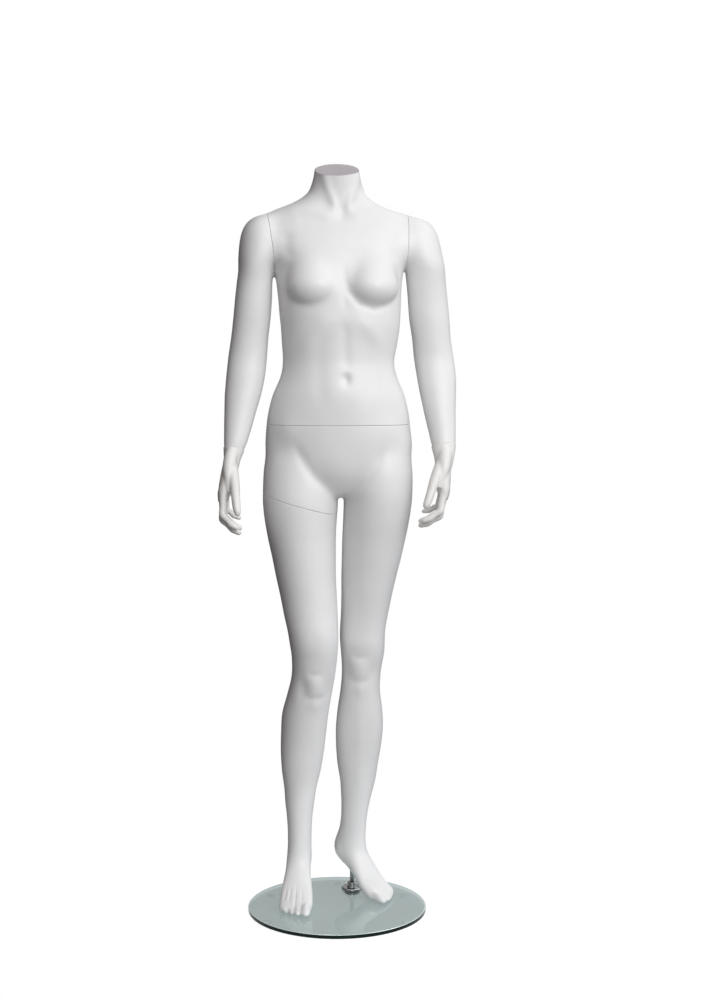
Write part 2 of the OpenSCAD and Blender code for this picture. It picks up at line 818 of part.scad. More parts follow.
// ---- Thigh fitting ----
// Two headed studs of the leg hang in the keyhole slots of the hip plate.
plate_w = 84;
plate_l = 100;
plate_t = 4;
stud_gap = 44;
stud_neck_d = 8;
stud_head_d = 14;
stud_head_t = 4;
stud_reach = 12;
slot_start = 10;
slot_play = 0.3;
thigh_screw_x = 32;
thigh_screw_y = 42;

module thigh_screw_places() {
    for (x = [-thigh_screw_x, thigh_screw_x]) {
        for (y = [-thigh_screw_y, thigh_screw_y]) {
            translate([x, y, 0]) children();
        }
    }
}

module thigh_screw_holes(from, depth) {
    thigh_screw_places() translate([0, 0, from]) cylinder(d = screw_hole_d, h = depth, $fn = 24);
}

// Recess in a thigh board for its plate.
module thigh_pocket(from, depth) {
    translate([-(plate_w + pocket_play) / 2, -(plate_l + pocket_play) / 2, from])
        cube([plate_w + pocket_play, plate_l + pocket_play, depth]);
}

module stud_places() {
    for (x = [-stud_gap / 2, stud_gap / 2]) {
        translate([x, slot_start, 0]) children();
    }
}

// Slot from the resting place of a stud forward to its entry hole.
module keyhole(neck, head, from, thick) {
    stud_places() {
        translate([0, 0, from]) cylinder(d = neck, h = thick, $fn = 32);
        translate([-neck / 2, -leg_slide, from]) cube([neck, leg_slide, thick]);
        translate([0, -leg_slide, from]) cylinder(d = head, h = thick, $fn = 32);
    }
}

module hips_thigh_board() {
    head_room = stud_head_d + 4;
    color(TIMBER)
        difference() {
            one_mesh()
                intersection() {
                    lower_body(board_inset, true);
                    at_thigh() slab(seam_gap / 2, board_t);
                    translate([-big + 5, -big / 2, 0]) cube([big, big, big]);
                }
            at_thigh() {
                thigh_pocket(-1, 1 + seam_gap / 2 + plate_t + bed_play);
                stud_places() {
                    translate([-head_room / 2, -leg_slide - head_room / 2, 0])
                        cube([head_room, leg_slide + head_room, board_t + 2]);
                }
                thigh_screw_holes(0, screw_len + 1);
            }
        }
}

module leg_keyhole_plate() {
    color(STEEL)
        at_thigh()
        difference() {
            translate([-plate_w / 2, -plate_l / 2, seam_gap / 2]) cube([plate_w, plate_l, plate_t]);
            keyhole(stud_neck_d + slot_play, stud_head_d + 1, -1, plate_t + 3);
            thigh_screw_holes(-1, plate_t + 3);
        }
}

module leg_keyhole_screws() {
    color(STEEL)
        at_thigh()
        translate([0, 0, seam_gap / 2])
        thigh_screw_places() cylinder(d = screw_d, h = screw_len, $fn = 24);
}

module right_leg_shell() {
    color(BODY_WHITE)
        one_mesh()
            difference() {
                intersection() {
                    union() {
                        leg_form("right");
                        pelvis_form();
                    }
                    right_leg_space(seam_gap / 2);
                    right_leg_side();
                }
                leg_form("right", wall, true);
            }
}

// Keeps the pelvis of the other side out of the right leg.
module right_leg_side() {
    translate([-big + 5, -big / 2, -1]) cube([big, big, big]);
}

module right_leg_board() {
    color(TIMBER)
        difference() {
            one_mesh()
                intersection() {
                    leg_form("right", board_inset, true);
                    at_thigh() slab(-seam_gap / 2 - board_t, board_t);
                }
            at_thigh() {
                thigh_pocket(-seam_gap / 2 - plate_t - bed_play, plate_t + 2);
                thigh_screw_holes(-screw_len - 1, screw_len + 2);
            }
        }
}

module leg_stud_plate() {
    color(STEEL)
        at_thigh()
        difference() {
            union() {
                translate([-plate_w / 2, -plate_l / 2, -seam_gap / 2 - plate_t])
                    cube([plate_w, plate_l, plate_t]);
                stud_places() {
                    translate([0, 0, -1]) cylinder(d = stud_neck_d, h = stud_reach, $fn = 32);
                    translate([0, 0, seam_gap / 2 + plate_t + slot_play])
                        cylinder(d = stud_head_d, h = stud_head_t, $fn = 32);
                }
            }
            thigh_screw_holes(-plate_t - 2, plate_t + 4);
        }
}

module leg_stud_screws() {
    color(STEEL)
        at_thigh()
        translate([0, 0, -seam_gap / 2 - screw_len])
        thigh_screw_places() cylinder(d = screw_d, h = screw_len, $fn = 24);
}

// ---- Torso ----
module torso_shell() {
    color(BODY_WHITE)
        one_mesh()
            difference() {
                union() upper_body();
                union() upper_body(wall, true);
                translate([0, 0, waist_z + seam_gap / 2]) mirror([0, 0, 1]) beyond(0);
                at_neck() beyond(0);
                beyond_shoulder("left");
                beyond_shoulder("right");
            }
}

module neck_cap() {
    color("lavender")
        one_mesh()
            intersection() {
                trunk_form(board_inset, true);
                at_neck() slab(-6, 5);
            }
}

module torso_waist_board() {
    color(TIMBER)
        difference() {
            one_mesh()
                intersection() {
                    trunk_form(board_inset, true);
                    translate([0, 0, waist_z + seam_gap / 2]) slab(0, board_t);
                }
            at_waist() socket_pocket(waist_plate_d, waist_plate_t, waist_sleeve_d, board_t);
        }
}

module waist_socket() {
    color(STEEL)
        at_waist()
        twist_socket(waist_spigot_d, waist_plate_d, waist_plate_t, waist_sleeve_d, waist_depth, waist_lug,
                     waist_turn);
}

module waist_socket_screws() {
    color(STEEL) at_waist() screws(waist_plate_d, -1);
}

module shoulder_board(side) {
    color(TIMBER)
        difference() {
            one_mesh()
                intersection() {
                    upper_body(board_inset, true);
                    at_shoulder(side) slab(-seam_gap / 2 - board_t, board_t);
                    above_armpit();
                }
            at_shoulder(side) socket_pocket(shoulder_plate_d, shoulder_plate_t, shoulder_sleeve_d, board_t);
        }
}

module shoulder_socket(side) {
    color(STEEL)
        at_shoulder(side)
        twist_socket(shoulder_spigot_d, shoulder_plate_d, shoulder_plate_t, shoulder_sleeve_d,
                     shoulder_depth, shoulder_lug, side == "left" ? -shoulder_turn : shoulder_turn);
}

module shoulder_screws(side) {
    color(STEEL) at_shoulder(side) screws(shoulder_plate_d, -1);
}

// ---- Arms ----
wrist_wall = 16;
wrist_socket_d = wrist_peg_d + 5;
wrist_socket_len = 30;
wrist_peg_len = 28;
wrist_root = 22;

module arm_shell(side) {
    color(BODY_WHITE)
        difference() {
            one_mesh()
                difference() {
                    union() whole_arm(side);
                    difference() {
                        union() whole_arm(side, wall, true);
                        at_wrist(side) beyond(-wrist_wall);
                    }
                    at_shoulder(side) mirror([0, 0, 1]) beyond(-seam_gap / 2);
                    at_wrist(side) beyond(-seam_gap / 2);
                }
            at_wrist(side)
                translate([0, 0, -wrist_socket_len - 1])
                cylinder(d = wrist_socket_d + fit, h = wrist_socket_len + 2, $fn = 40);
        }
}

module arm_board(side) {
    color(TIMBER)
        difference() {
            one_mesh()
                intersection() {
                    whole_arm(side, board_inset, true);
                    at_shoulder(side) slab(seam_gap / 2, board_t);
                }
            at_shoulder(side) plug_pocket(shoulder_plate_d, shoulder_plate_t);
        }
}

module arm_plug(side) {
    color(STEEL)
        at_shoulder(side)
        twist_plug(shoulder_spigot_d, shoulder_plate_d, shoulder_plate_t, shoulder_depth, shoulder_lug);
}

module arm_screws(side) {
    color(STEEL) at_shoulder(side) screws(shoulder_plate_d, 1);
}

module wrist_socket(side) {
    color("gainsboro")
        at_wrist(side)
        translate([0, 0, -seam_gap / 2 - wrist_socket_len])
        difference() {
            cylinder(d = wrist_socket_d, h = wrist_socket_len, $fn = 40);
            translate([0, 0, 1]) cylinder(d = wrist_peg_d + fit, h = wrist_socket_len, $fn = 40);
        }
}

// ---- Hands ----
function finger_point(start, lengths, angles, n) =
    n == 0 ? start
    : finger_point(start, lengths, angles, n - 1)
      + lengths[n - 1] * [sin(angles[n - 1]), 0, -cos(angles[n - 1])];

module finger(f) {
    a = f[2];
    r = f[3];
    root = f[0] + [-1, 0, 18];
    p1 = finger_point(f[0], f[1], a, 1);
    p2 = finger_point(f[0], f[1], a, 2);
    p3 = finger_point(f[0], f[1], a, 3);
    tip = (p3 - p2) / norm(p3 - p2);
    bent_rod([
        [root, r, r],
        [f[0], r, r],
        [(f[0] + 2 * p1) / 3, 0.92 * r, 0.9 * r],
        [p1, 0.96 * r, 0.92 * r],
        [(p1 + p2) / 2, 0.88 * r, 0.82 * r],
        [p2, 0.86 * r, 0.8 * r],
        [p3 - 9 * tip, 0.78 * r, 0.7 * r],
        [p3 - 3 * tip, 0.62 * r, 0.55 * r],
        [p3, 0.25 * r, 0.22 * r]
    ], 10);
}

module hand_form() {
    form(PALM, 18);
    for (f = FINGERS) finger(f);
    bent_rod(THUMB, 12);
}

module hand(side) {
    left = side == "left";
    color("ivory")
        difference() {
            one_mesh()
                difference() {
                    union() {
                        translate(left ? left_wrist_at : right_wrist_at)
                            rotate(left ? left_hand_turn : right_hand_turn)
                            mirror([left ? 1 : 0, 0, 0])
                            hand_form();
                        arm_form(side);
                    }
                    at_wrist(side) mirror([0, 0, 1]) beyond(-seam_gap / 2);
                }
            at_wrist(side) cylinder(d = wrist_peg_d + fit, h = wrist_root, $fn = 40);
        }
}

module wrist_peg(side) {
    color("gainsboro")
        at_wrist(side)
        translate([0, 0, -wrist_peg_len])
        cylinder(d = wrist_peg_d, h = wrist_peg_len + wrist_root, $fn = 40);
}

glass_base();
base_bumpers();
clamp_washer();
base_screw();
glass_bush();
flange_gasket();
base_flange();
rod_set_screw();
support_rod();
hips_left_leg_shell();
rod_socket();
ankle_block();
hips_waist_board();
waist_plug();
waist_plug_screws();
hips_thigh_board();
leg_keyhole_plate();
leg_keyhole_screws();
right_leg_shell();
right_leg_board();
leg_stud_plate();
leg_stud_screws();
torso_shell();
neck_cap();
torso_waist_board();
waist_socket();
waist_socket_screws();
shoulder_board("left");  // left_shoulder_board
shoulder_socket("left");  // left_shoulder_socket
shoulder_screws("left");  // left_shoulder_screws
shoulder_board("right");  // right_shoulder_board
shoulder_socket("right");  // right_shoulder_socket
shoulder_screws("right");  // right_shoulder_screws
arm_shell("left");  // left_arm_shell
arm_board("left");  // left_arm_board
arm_plug("left");  // left_arm_plug
arm_screws("left");  // left_arm_screws
wrist_socket("left");  // left_wrist_socket
arm_shell("right");  // right_arm_shell
arm_board("right");  // right_arm_board
arm_plug("right");  // right_arm_plug
arm_screws("right");  // right_arm_screws
wrist_socket("right");  // right_wrist_socket
hand("left");  // left_hand
wrist_peg("left");  // left_wrist_peg
hand("right");  // right_hand
wrist_peg("right");  // right_wrist_peg
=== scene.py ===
import json
import math

import bmesh
import bpy
import numpy as np
from mathutils import Matrix, Vector
from mathutils.bvhtree import BVHTree


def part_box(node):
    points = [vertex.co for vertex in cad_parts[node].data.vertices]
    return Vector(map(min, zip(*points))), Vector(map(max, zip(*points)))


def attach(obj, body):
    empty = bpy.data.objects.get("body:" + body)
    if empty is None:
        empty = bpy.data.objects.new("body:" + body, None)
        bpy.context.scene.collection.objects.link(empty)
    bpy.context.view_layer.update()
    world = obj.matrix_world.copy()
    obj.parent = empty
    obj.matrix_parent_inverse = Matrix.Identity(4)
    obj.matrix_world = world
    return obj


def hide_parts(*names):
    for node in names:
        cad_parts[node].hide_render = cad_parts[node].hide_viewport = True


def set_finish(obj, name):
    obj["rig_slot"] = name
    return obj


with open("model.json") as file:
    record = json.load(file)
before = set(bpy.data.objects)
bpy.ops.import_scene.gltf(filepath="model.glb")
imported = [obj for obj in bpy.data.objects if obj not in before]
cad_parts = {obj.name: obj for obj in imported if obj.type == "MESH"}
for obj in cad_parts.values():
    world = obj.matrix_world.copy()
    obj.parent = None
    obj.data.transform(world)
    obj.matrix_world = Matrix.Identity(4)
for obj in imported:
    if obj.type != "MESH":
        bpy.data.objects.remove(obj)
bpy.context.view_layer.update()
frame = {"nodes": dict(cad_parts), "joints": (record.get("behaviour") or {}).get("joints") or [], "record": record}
MM = 0.001

# ---- Stations of the forms, in millimetres ----
# Each row is [height, left x, right x, front y, back y, squareness, turn about Z].
# FOOT stands on its heel: its heights run from the back of the heel to the toes.
# PALM hangs from the wrist at height 0.
TRUNK = [
    [1028, -149, 155, -84, 101, 2.3, 2],
    [1060, -145, 152, -84, 90, 2.3, 3],
    [1100, -134, 142, -84, 77, 2.2, 4],
    [1140, -117, 126, -82, 71, 2.1, 5],
    [1170, -112, 120, -80, 70, 2.1, 5],
    [1205, -114, 126, -82, 77, 2.2, 6],
    [1240, -116, 131, -86, 88, 2.3, 6],
    [1268, -119, 133, -87, 94, 2.3, 7],
    [1294, -121, 134, -87, 98, 2.3, 7],
    [1322, -124, 135, -86, 101, 2.3, 7],
    [1350, -128, 138, -83, 104, 2.3, 7],
    [1372, -134, 144, -79, 105, 2.3, 7],
    [1388, -150, 160, -74, 104, 2.3, 7],
    [1405, -163, 173, -69, 102, 2.3, 7],
    [1430, -168, 178, -60, 98, 2.3, 7],
    [1452, -164, 174, -51, 93, 2.2, 7],
    [1466, -158, 165, -44, 88, 2.2, 7],
    [1478, -145, 150, -38, 83, 2.1, 7],
    [1488, -122, 124, -36, 79, 2, 7],
    [1500, -90, 88, -36, 74, 2, 6],
    [1518, -62, 62, -38, 68, 2, 5],
    [1540, -51, 52, -43, 61, 2, 5],
    [1562, -46, 46, -48, 54, 2, 5],
    [1592, -44, 44, -53, 49, 2, 5]
]
PELVIS = [
    [889, -20, 28, -30, 56, 2, 0],
    [898, -42, 50, -45, 82, 2, 0],
    [918, -84, 92, -60, 107, 2.1, 0],
    [943, -126, 134, -72, 116, 2.3, 0],
    [970, -147, 155, -79, 117, 2.3, 0],
    [996, -151, 159, -82, 111, 2.3, 0],
    [1020, -149, 156, -84, 104, 2.3, 1],
    [1048, -147, 153, -84, 94, 2.3, 2]
]
LEFT_LEG = [
    [78, 12, 54, 82, 122, 2, 44],
    [100, 7, 59, 70, 136, 2, 44],
    [130, 5, 61, 66, 138, 2, 44],
    [171, 7, 63, 64, 136, 2, 42],
    [213, 8, 70, 62, 134, 2, 35],
    [256, 6, 82, 54, 131, 2, 25],
    [298, 0, 88, 42, 132, 2.1, 15],
    [341, -3, 95, 30, 132, 2.1, 10],
    [383, -3, 99, 20, 128, 2.1, 8],
    [425, 1, 97, 13, 124, 2.1, 5],
    [467, 7, 92, 8, 115, 2.1, 4],
    [509, 10, 94, 3, 107, 2.1, 3],
    [551, 8, 101, -6, 103, 2.2, 2],
    [575, 6, 102, -12, 102, 2.2, 2],
    [600, 6, 103, -14, 104, 2.2, 2],
    [634, 8, 109, -19, 102, 2.1, 0],
    [675, 9, 117, -29, 103, 2.1, 0],
    [715, 9, 126, -38, 104, 2.1, 0],
    [756, 10, 136, -47, 105, 2.1, 0],
    [797, 11, 145, -55, 106, 2.1, 0],
    [838, 13, 153, -64, 104, 2.1, 0],
    [866, 14, 157, -69, 104, 2.1, 0],
    [884, 14, 159, -72, 108, 2.1, 0],
    [908, 10, 160, -75, 113, 2.2, 0],
    [938, 7, 160, -75, 114, 2.2, 0],
    [966, 9, 157, -71, 108, 2.2, 0],
    [992, 19, 149, -62, 95, 2.1, 0],
    [1014, 42, 128, -42, 72, 2, 0]
]
RIGHT_LEG = [
    [78, -103, -60, 24, 62, 2, -3],
    [100, -108, -54, 8, 76, 2, -3],
    [130, -109, -53, 3, 80, 2, -3],
    [171, -110, -52, 2, 78, 2, -3],
    [213, -112, -50, 1, 74, 2, -3],
    [256, -114, -45, -4, 71, 2, -3],
    [298, -119, -35, -12, 72, 2.1, -2],
    [341, -121, -28, -20, 74, 2.1, 0],
    [383, -120, -23, -30, 73, 2.1, 0],
    [425, -117, -18, -40, 67, 2.1, 0],
    [467, -106, -11, -50, 55, 2.1, 2],
    [509, -96, -4, -60, 43, 2.1, 3],
    [551, -95, 1, -72, 34, 2.2, 4],
    [580, -99, 3, -80, 34, 2.2, 5],
    [606, -103, 3, -82, 37, 2.2, 4],
    [640, -111, 2, -80, 48, 2.1, 3],
    [680, -119, 0, -78, 60, 2.1, 2],
    [720, -128, -2, -78, 71, 2.1, 1],
    [760, -136, -2, -79, 80, 2.1, 0],
    [800, -145, -2, -80, 90, 2.1, 0],
    [840, -152, 0, -81, 96, 2.1, 0],
    [866, -155, 2, -82, 99, 2.1, 0],
    [884, -156, 2, -82, 105, 2.1, 0],
    [908, -156, 1, -80, 112, 2.2, 0],
    [938, -155, -1, -76, 114, 2.2, 0],
    [966, -151, -3, -71, 108, 2.2, 0],
    [992, -143, -13, -62, 95, 2.1, 0],
    [1014, -122, -36, -42, 72, 2, 0]
]
LEFT_ARM = [
    [950, 208, 240, -46, -4, 2, 0],
    [972, 203, 245, -43, 9, 2, 0],
    [996, 197, 249, -37, 18, 2, 0],
    [1025, 190, 251, -31, 32, 2, 0],
    [1060, 182, 251, -23, 46, 2, 0],
    [1100, 175, 251, -14, 60, 2, 0],
    [1140, 168, 251, -5, 70, 2.1, 0],
    [1180, 162, 246, 2, 78, 2.1, 0],
    [1220, 158, 240, 0, 80, 2.1, 0],
    [1260, 152, 237, -4, 81, 2.1, 0],
    [1300, 149, 233, -7, 84, 2.1, 0],
    [1335, 146, 229, -12, 87, 2.1, 3],
    [1360, 143, 227, -17, 91, 2.1, 5],
    [1376, 136, 225, -20, 93, 2.1, 7],
    [1395, 122, 221, -22, 94, 2.1, 7],
    [1420, 114, 216, -21, 93, 2.1, 7],
    [1442, 114, 209, -17, 89, 2.1, 7],
    [1458, 118, 198, -10, 83, 2.1, 7],
    [1469, 124, 185, 0, 74, 2, 7],
    [1476, 136, 168, 14, 60, 2, 7]
]
RIGHT_ARM = [
    [948, -232, -204, -68, -36, 2, 0],
    [970, -233, -197, -71, -27, 2, 0],
    [992, -234, -188, -70, -19, 2, 0],
    [1020, -235, -178, -66, -8, 2, 0],
    [1060, -235, -167, -60, 6, 2, 0],
    [1100, -233, -157, -53, 19, 2, 0],
    [1140, -230, -149, -46, 30, 2.1, 0],
    [1180, -226, -145, -40, 38, 2.1, 0],
    [1220, -220, -142, -41, 40, 2.1, 0],
    [1260, -215, -137, -45, 39, 2.1, 0],
    [1300, -211, -134, -49, 40, 2.1, 0],
    [1335, -207, -133, -53, 44, 2.1, 3],
    [1358, -204, -132, -58, 50, 2.1, 5],
    [1372, -204, -128, -61, 53, 2.1, 7],
    [1390, -204, -114, -63, 54, 2.1, 7],
    [1416, -202, -108, -61, 54, 2.1, 7],
    [1440, -197, -108, -57, 50, 2.1, 7],
    [1455, -189, -112, -50, 44, 2.1, 7],
    [1466, -178, -118, -40, 36, 2, 7],
    [1473, -162, -130, -26, 24, 2, 7]
]
FOOT = [
    [0, -9, 9, 92, 118, 2, 0],
    [4, -18, 18, 80, 132, 2, 0],
    [12, -25, 25, 72, 144, 2.1, 0],
    [28, -28, 28, 66, 150, 2.2, 0],
    [50, -29, 29, 59, 144, 2.2, 0],
    [75, -30, 30, 45, 118, 2.1, 0],
    [98, -32, 32, 28, 84, 2.1, 0],
    [118, -35, 35, 16, 57, 2.2, 0],
    [136, -36, 35, 12.5, 42, 2.3, 0],
    [148, -35, 33, 12.5, 34, 2.3, 0],
    [156, -31, 26, 13, 29, 2.2, 0]
]
# Each toe is [place across the foot, how far its tip reaches, half width, half height].
TOES = [
    [-23.5, 180, 11, 9],
    [-6, 176, 7.2, 7.5],
    [7, 169, 6.8, 7],
    [19, 160, 6.4, 6.6],
    [29.5, 150, 6.4, 6.4]
]
PALM = [
    [-114, -13, 3, -34, 33, 2.4, 0],
    [-104, -15, 7, -38, 36, 2.4, 0],
    [-85, -17, 12, -40, 37, 2.3, 0],
    [-62, -18, 15, -38, 34, 2.2, 0],
    [-40, -18, 16, -31, 29, 2.1, 0],
    [-18, -18, 17, -26, 25, 2, 0],
    [0, -19, 18, -24, 24, 2, 0]
]
# Each finger is [start, bone lengths, bends in degrees, radius].
FINGERS = [
    [[-4, -29, -97], [44, 26, 19], [10, 52, 66], 8.6],
    [[-5, -10, -101], [48, 29, 20], [11, 56, 70], 8.8],
    [[-4, 9, -97], [44, 27, 19], [12, 58, 72], 8.4],
    [[-2, 27, -90], [34, 20, 17], [13, 60, 74], 7.4]
]
# Rows of THUMB and THENAR, the ball of the thumb, are [centre, side radius, thickness radius].
THUMB = [
    [[0, -16, -28], 12, 10],
    [[8, -28, -52], 14, 12],
    [[17, -39, -78], 12, 11],
    [[24, -46, -102], 10, 9.5],
    [[30, -50, -122], 9.5, 8.5],
    [[34, -52, -133], 8, 7],
    [[36, -53, -139], 4, 3.5]
]
THENAR = [
    [[-3, -12, -4], 14, 13],
    [[-3, -24, -30], 16, 14],
    [[-1, -31, -54], 14, 12],
    [[3, -36, -76], 8, 7],
    [[7, -38, -94], 3, 3]
]
SIDES = ("left", "right")
LEG = {"left": LEFT_LEG, "right": RIGHT_LEG}
ARM = {"left": LEFT_ARM, "right": RIGHT_ARM}
HEEL = {"left": (-4, 139, 0), "right": (-80, 88, 0)}
FOOT_TURN = {"left": 44, "right": -3}
WRIST = {"left": (222, -8, 996), "right": (-211, -45, 991)}
HAND_TURN = {"left": (-11, 2, 0), "right": (-10, 10.5, 0)}
# Height of the sole of the foot, and of the toe roots as measured from the back of the heel.
SOLE = 12.5
TOE_ROOT = 136
# Feet are rebuilt finer below this height.
FOOT_TOP = 72
# Centre x, centre y and turn of the frames in which the trunk is sculpted.
CHEST = (6, 5, 7)
HIPS = (4, 14, 1)


# ---- Form making ----
ROD_SIDES = 28


def around(count):
    """Angles evenly round a circle."""
    return np.linspace(0, 2 * math.pi, count, endpoint=False)


def sampled(rows, step):
    """Rows about every step along their first column, on a smooth curve through the given rows."""
    rows = np.array(rows, float)
    z = rows[:, 0]
    slope = np.empty_like(rows)
    slope[1:-1] = (rows[2:] - rows[:-2]) / (z[2:] - z[:-2])[:, None]
    slope[0] = (rows[1] - rows[0]) / (z[1] - z[0])
    slope[-1] = (rows[-1] - rows[-2]) / (z[-1] - z[-2])
    h = np.linspace(z[0], z[-1], max(int((z[-1] - z[0]) / step), 3))
    i = np.clip(np.searchsorted(z, h, side="right") - 1, 0, len(z) - 2)
    dz = (z[i + 1] - z[i])[:, None]
    u = (h - z[i])[:, None] / dz
    v = (
        (2 * u**3 - 3 * u**2 + 1) * rows[i]
        + (u**3 - 2 * u**2 + u) * dz * slope[i]
        + (3 * u**2 - 2 * u**3) * rows[i + 1]
        + (u**3 - u**2) * dz * slope[i + 1]
    )
    v[:, 0] = h
    return v


def form(rows, sides, step=4):
    """Rings of a limb or trunk from its stations."""
    v = sampled(rows, step)
    t = around(sides)
    c, s = np.cos(t), np.sin(t)
    e = 2 / v[:, 5:6]
    x = (v[:, 2:3] - v[:, 1:2]) / 2 * np.sign(c) * np.abs(c) ** e
    y = (v[:, 4:5] - v[:, 3:4]) / 2 * np.sign(s) * np.abs(s) ** e
    a = np.radians(v[:, 6:7])
    px = (v[:, 1:2] + v[:, 2:3]) / 2 + x * np.cos(a) - y * np.sin(a)
    py = (v[:, 3:4] + v[:, 4:5]) / 2 + x * np.sin(a) + y * np.cos(a)
    return np.stack([px, py, np.broadcast_to(v[:, 0:1], px.shape)], axis=2)


def smooth_rows(rows, step):
    """A smooth path through [centre, side radius, thickness radius] rows."""
    p = np.array([[*r[0], r[1], r[2]] for r in rows], float)
    d = np.linalg.norm(np.diff(p[:, :3], axis=0), axis=1)
    at = np.concatenate([[0], np.cumsum(d)])
    return sampled(np.column_stack([at, p]), step)[:, 1:]


def rod(rows):
    """Rings round a path of [centre, side radius, thickness radius] rows."""
    p = smooth_rows(rows, 1.5)
    c = p[:, :3]
    t = np.gradient(c, axis=0)
    t /= np.linalg.norm(t, axis=1)[:, None]
    side = np.array([0.0, 1.0, 0.0])
    n = np.cross(t, side)
    n /= np.linalg.norm(n, axis=1)[:, None]
    across = np.cross(n, t)
    w = around(ROD_SIDES)[None, :, None]
    wide = across[:, None] * p[:, 3:4, None] * np.cos(w)
    thick = n[:, None] * p[:, 4:5, None] * np.sin(w)
    return c[:, None] + wide + thick


def shifted(rings, m):
    """The rings carried by the matrix m."""
    m = np.array(m, float)
    return rings @ m[:3, :3].T + m[:3, 3]


def turned(x=0, y=0, z=0):
    """Turn by degrees about X, then Y, then Z."""
    m = Matrix.Rotation(math.radians(z), 4, "Z")
    m = m @ Matrix.Rotation(math.radians(y), 4, "Y")
    return m @ Matrix.Rotation(math.radians(x), 4, "X")


def toe(place, tip, half_w, half_h):
    """Rings of one toe; stops are (how far along, share of width, share of height)."""
    stops = [
        (TOE_ROOT - 14, 0.8, 1.5),
        (TOE_ROOT, 0.88, 1.35),
        (tip - 16, 0.95, 1.1),
        (tip - 8, 0.86, 0.86),
        (tip - 3, 0.64, 0.6),
        (tip, 0.28, 0.24),
    ]
    rows = [[(place, SOLE + half_h * max(tall, 0.8), at), wide, tall] for at, wide, tall in stops]
    p = smooth_rows(rows, 1)
    w = around(ROD_SIDES)
    x = p[:, 0:1] + half_w * p[:, 3:4] * np.cos(w)
    y = p[:, 1:2] + half_h * p[:, 4:5] * np.sin(w)
    return np.stack([x, y, np.broadcast_to(p[:, 2:3], x.shape)], axis=2)


def foot_place(side):
    m = Matrix.Translation(HEEL[side]) @ turned(z=FOOT_TURN[side])
    if side == "right":
        m = m @ Matrix.Scale(-1, 4, (1, 0, 0))
    return m @ turned(x=90)


def foot_forms(side):
    m = foot_place(side)
    parts = [form(FOOT, 48, 2)] + [toe(*t) for t in TOES]
    return [shifted(p, m) for p in parts]


def bent(degrees):
    """Direction of a finger bone bent this much, and the way its back faces."""
    b = math.radians(degrees)
    return np.array([math.sin(b), 0, -math.cos(b)]), np.array([-math.cos(b), 0, -math.sin(b)])


def finger_joints(start, bones, bends):
    p = [np.array(start, float)]
    for length, bend in zip(bones, bends, strict=True):
        p.append(p[-1] + length * bent(bend)[0])
    return p


def finger(start, bones, bends, r):
    p = finger_joints(start, bones, bends)
    tip = (p[3] - p[2]) / np.linalg.norm(p[3] - p[2])
    return rod(
        [
            [p[0] + [-1, 0, 18], r, r],
            [p[0], r, r],
            [(2 * p[0] + p[1]) / 3, 0.94 * r, 0.92 * r],
            [(p[0] + 2 * p[1]) / 3, 0.9 * r, 0.86 * r],
            [p[1], 0.96 * r, 0.93 * r],
            [(p[1] + p[2]) / 2, 0.87 * r, 0.81 * r],
            [p[2], 0.87 * r, 0.82 * r],
            [p[3] - 9 * tip, 0.79 * r, 0.71 * r],
            [p[3] - 3 * tip, 0.64 * r, 0.56 * r],
            [p[3], 0.28 * r, 0.24 * r],
        ]
    )


def hand_place(side):
    m = Matrix.Translation(WRIST[side]) @ turned(*HAND_TURN[side])
    if side == "left":
        m = m @ Matrix.Scale(-1, 4, (1, 0, 0))
    return m


def hand_forms(side):
    parts = [form(PALM, 64, 2), rod(THUMB), rod(THENAR)] + [finger(*f) for f in FINGERS]
    return [shifted(p, hand_place(side)) for p in parts]


def balls_hull(balls):
    """Convex form round ellipsoids, each [centre, radii]."""
    bm = bmesh.new()
    for centre, radii in balls:
        made = bmesh.ops.create_uvsphere(bm, u_segments=48, v_segments=32, radius=1)["verts"]
        for v in made:
            v.co = Vector(centre) + Vector(a * b for a, b in zip(v.co, radii, strict=True))
    bmesh.ops.convex_hull(bm, input=bm.verts)
    loose = [v for v in bm.verts if not v.link_faces]
    bmesh.ops.delete(bm, geom=loose, context="VERTS")
    return bm


def solid_of(rings):
    """Corners and faces of the closed form that the rings make."""
    n, m = len(rings), rings.shape[1]
    verts = rings.reshape(-1, 3)
    faces = []
    for i in range(n - 1):
        for k in range(m):
            a, b = i * m + k, i * m + (k + 1) % m
            faces.append((a, b, b + m, a + m))
    faces.append(tuple(range(m - 1, -1, -1)))
    faces.append(tuple((n - 1) * m + k for k in range(m)))
    return verts, faces


def new_object(name, mesh):
    o = bpy.data.objects.new(name, mesh)
    bpy.context.scene.collection.objects.link(o)
    return o


def bmesh_of(mesh):
    bm = bmesh.new()
    bm.from_mesh(mesh)
    return bm


def union(name, forms, voxel, extra=()):
    """One skin round all the forms; voxel in millimetres."""
    verts, faces, base = [], [], 0
    for rings in forms:
        v, f = solid_of(rings)
        verts.append(v)
        faces += [tuple(i + base for i in q) for q in f]
        base += len(v)
    mesh = bpy.data.meshes.new(name)
    mesh.from_pydata(np.concatenate(verts).tolist(), [], faces)
    bm = bmesh_of(mesh)
    for piece in extra:
        other = bpy.data.meshes.new("extra")
        piece.to_mesh(other)
        piece.free()
        bm.from_mesh(other)
        bpy.data.meshes.remove(other)
    bmesh.ops.recalc_face_normals(bm, faces=bm.faces)
    bm.to_mesh(mesh)
    bm.free()
    o = new_object(name, mesh)
    mod = o.modifiers.new("remesh", "REMESH")
    mod.mode = "VOXEL"
    mod.voxel_size = voxel
    return baked(o)


def baked(o):
    """o with its modifiers applied."""
    bpy.context.view_layer.update()
    graph = bpy.context.evaluated_depsgraph_get()
    mesh = bpy.data.meshes.new_from_object(o.evaluated_get(graph))
    old = o.data
    o.modifiers.clear()
    o.data = mesh
    bpy.data.meshes.remove(old)
    return o


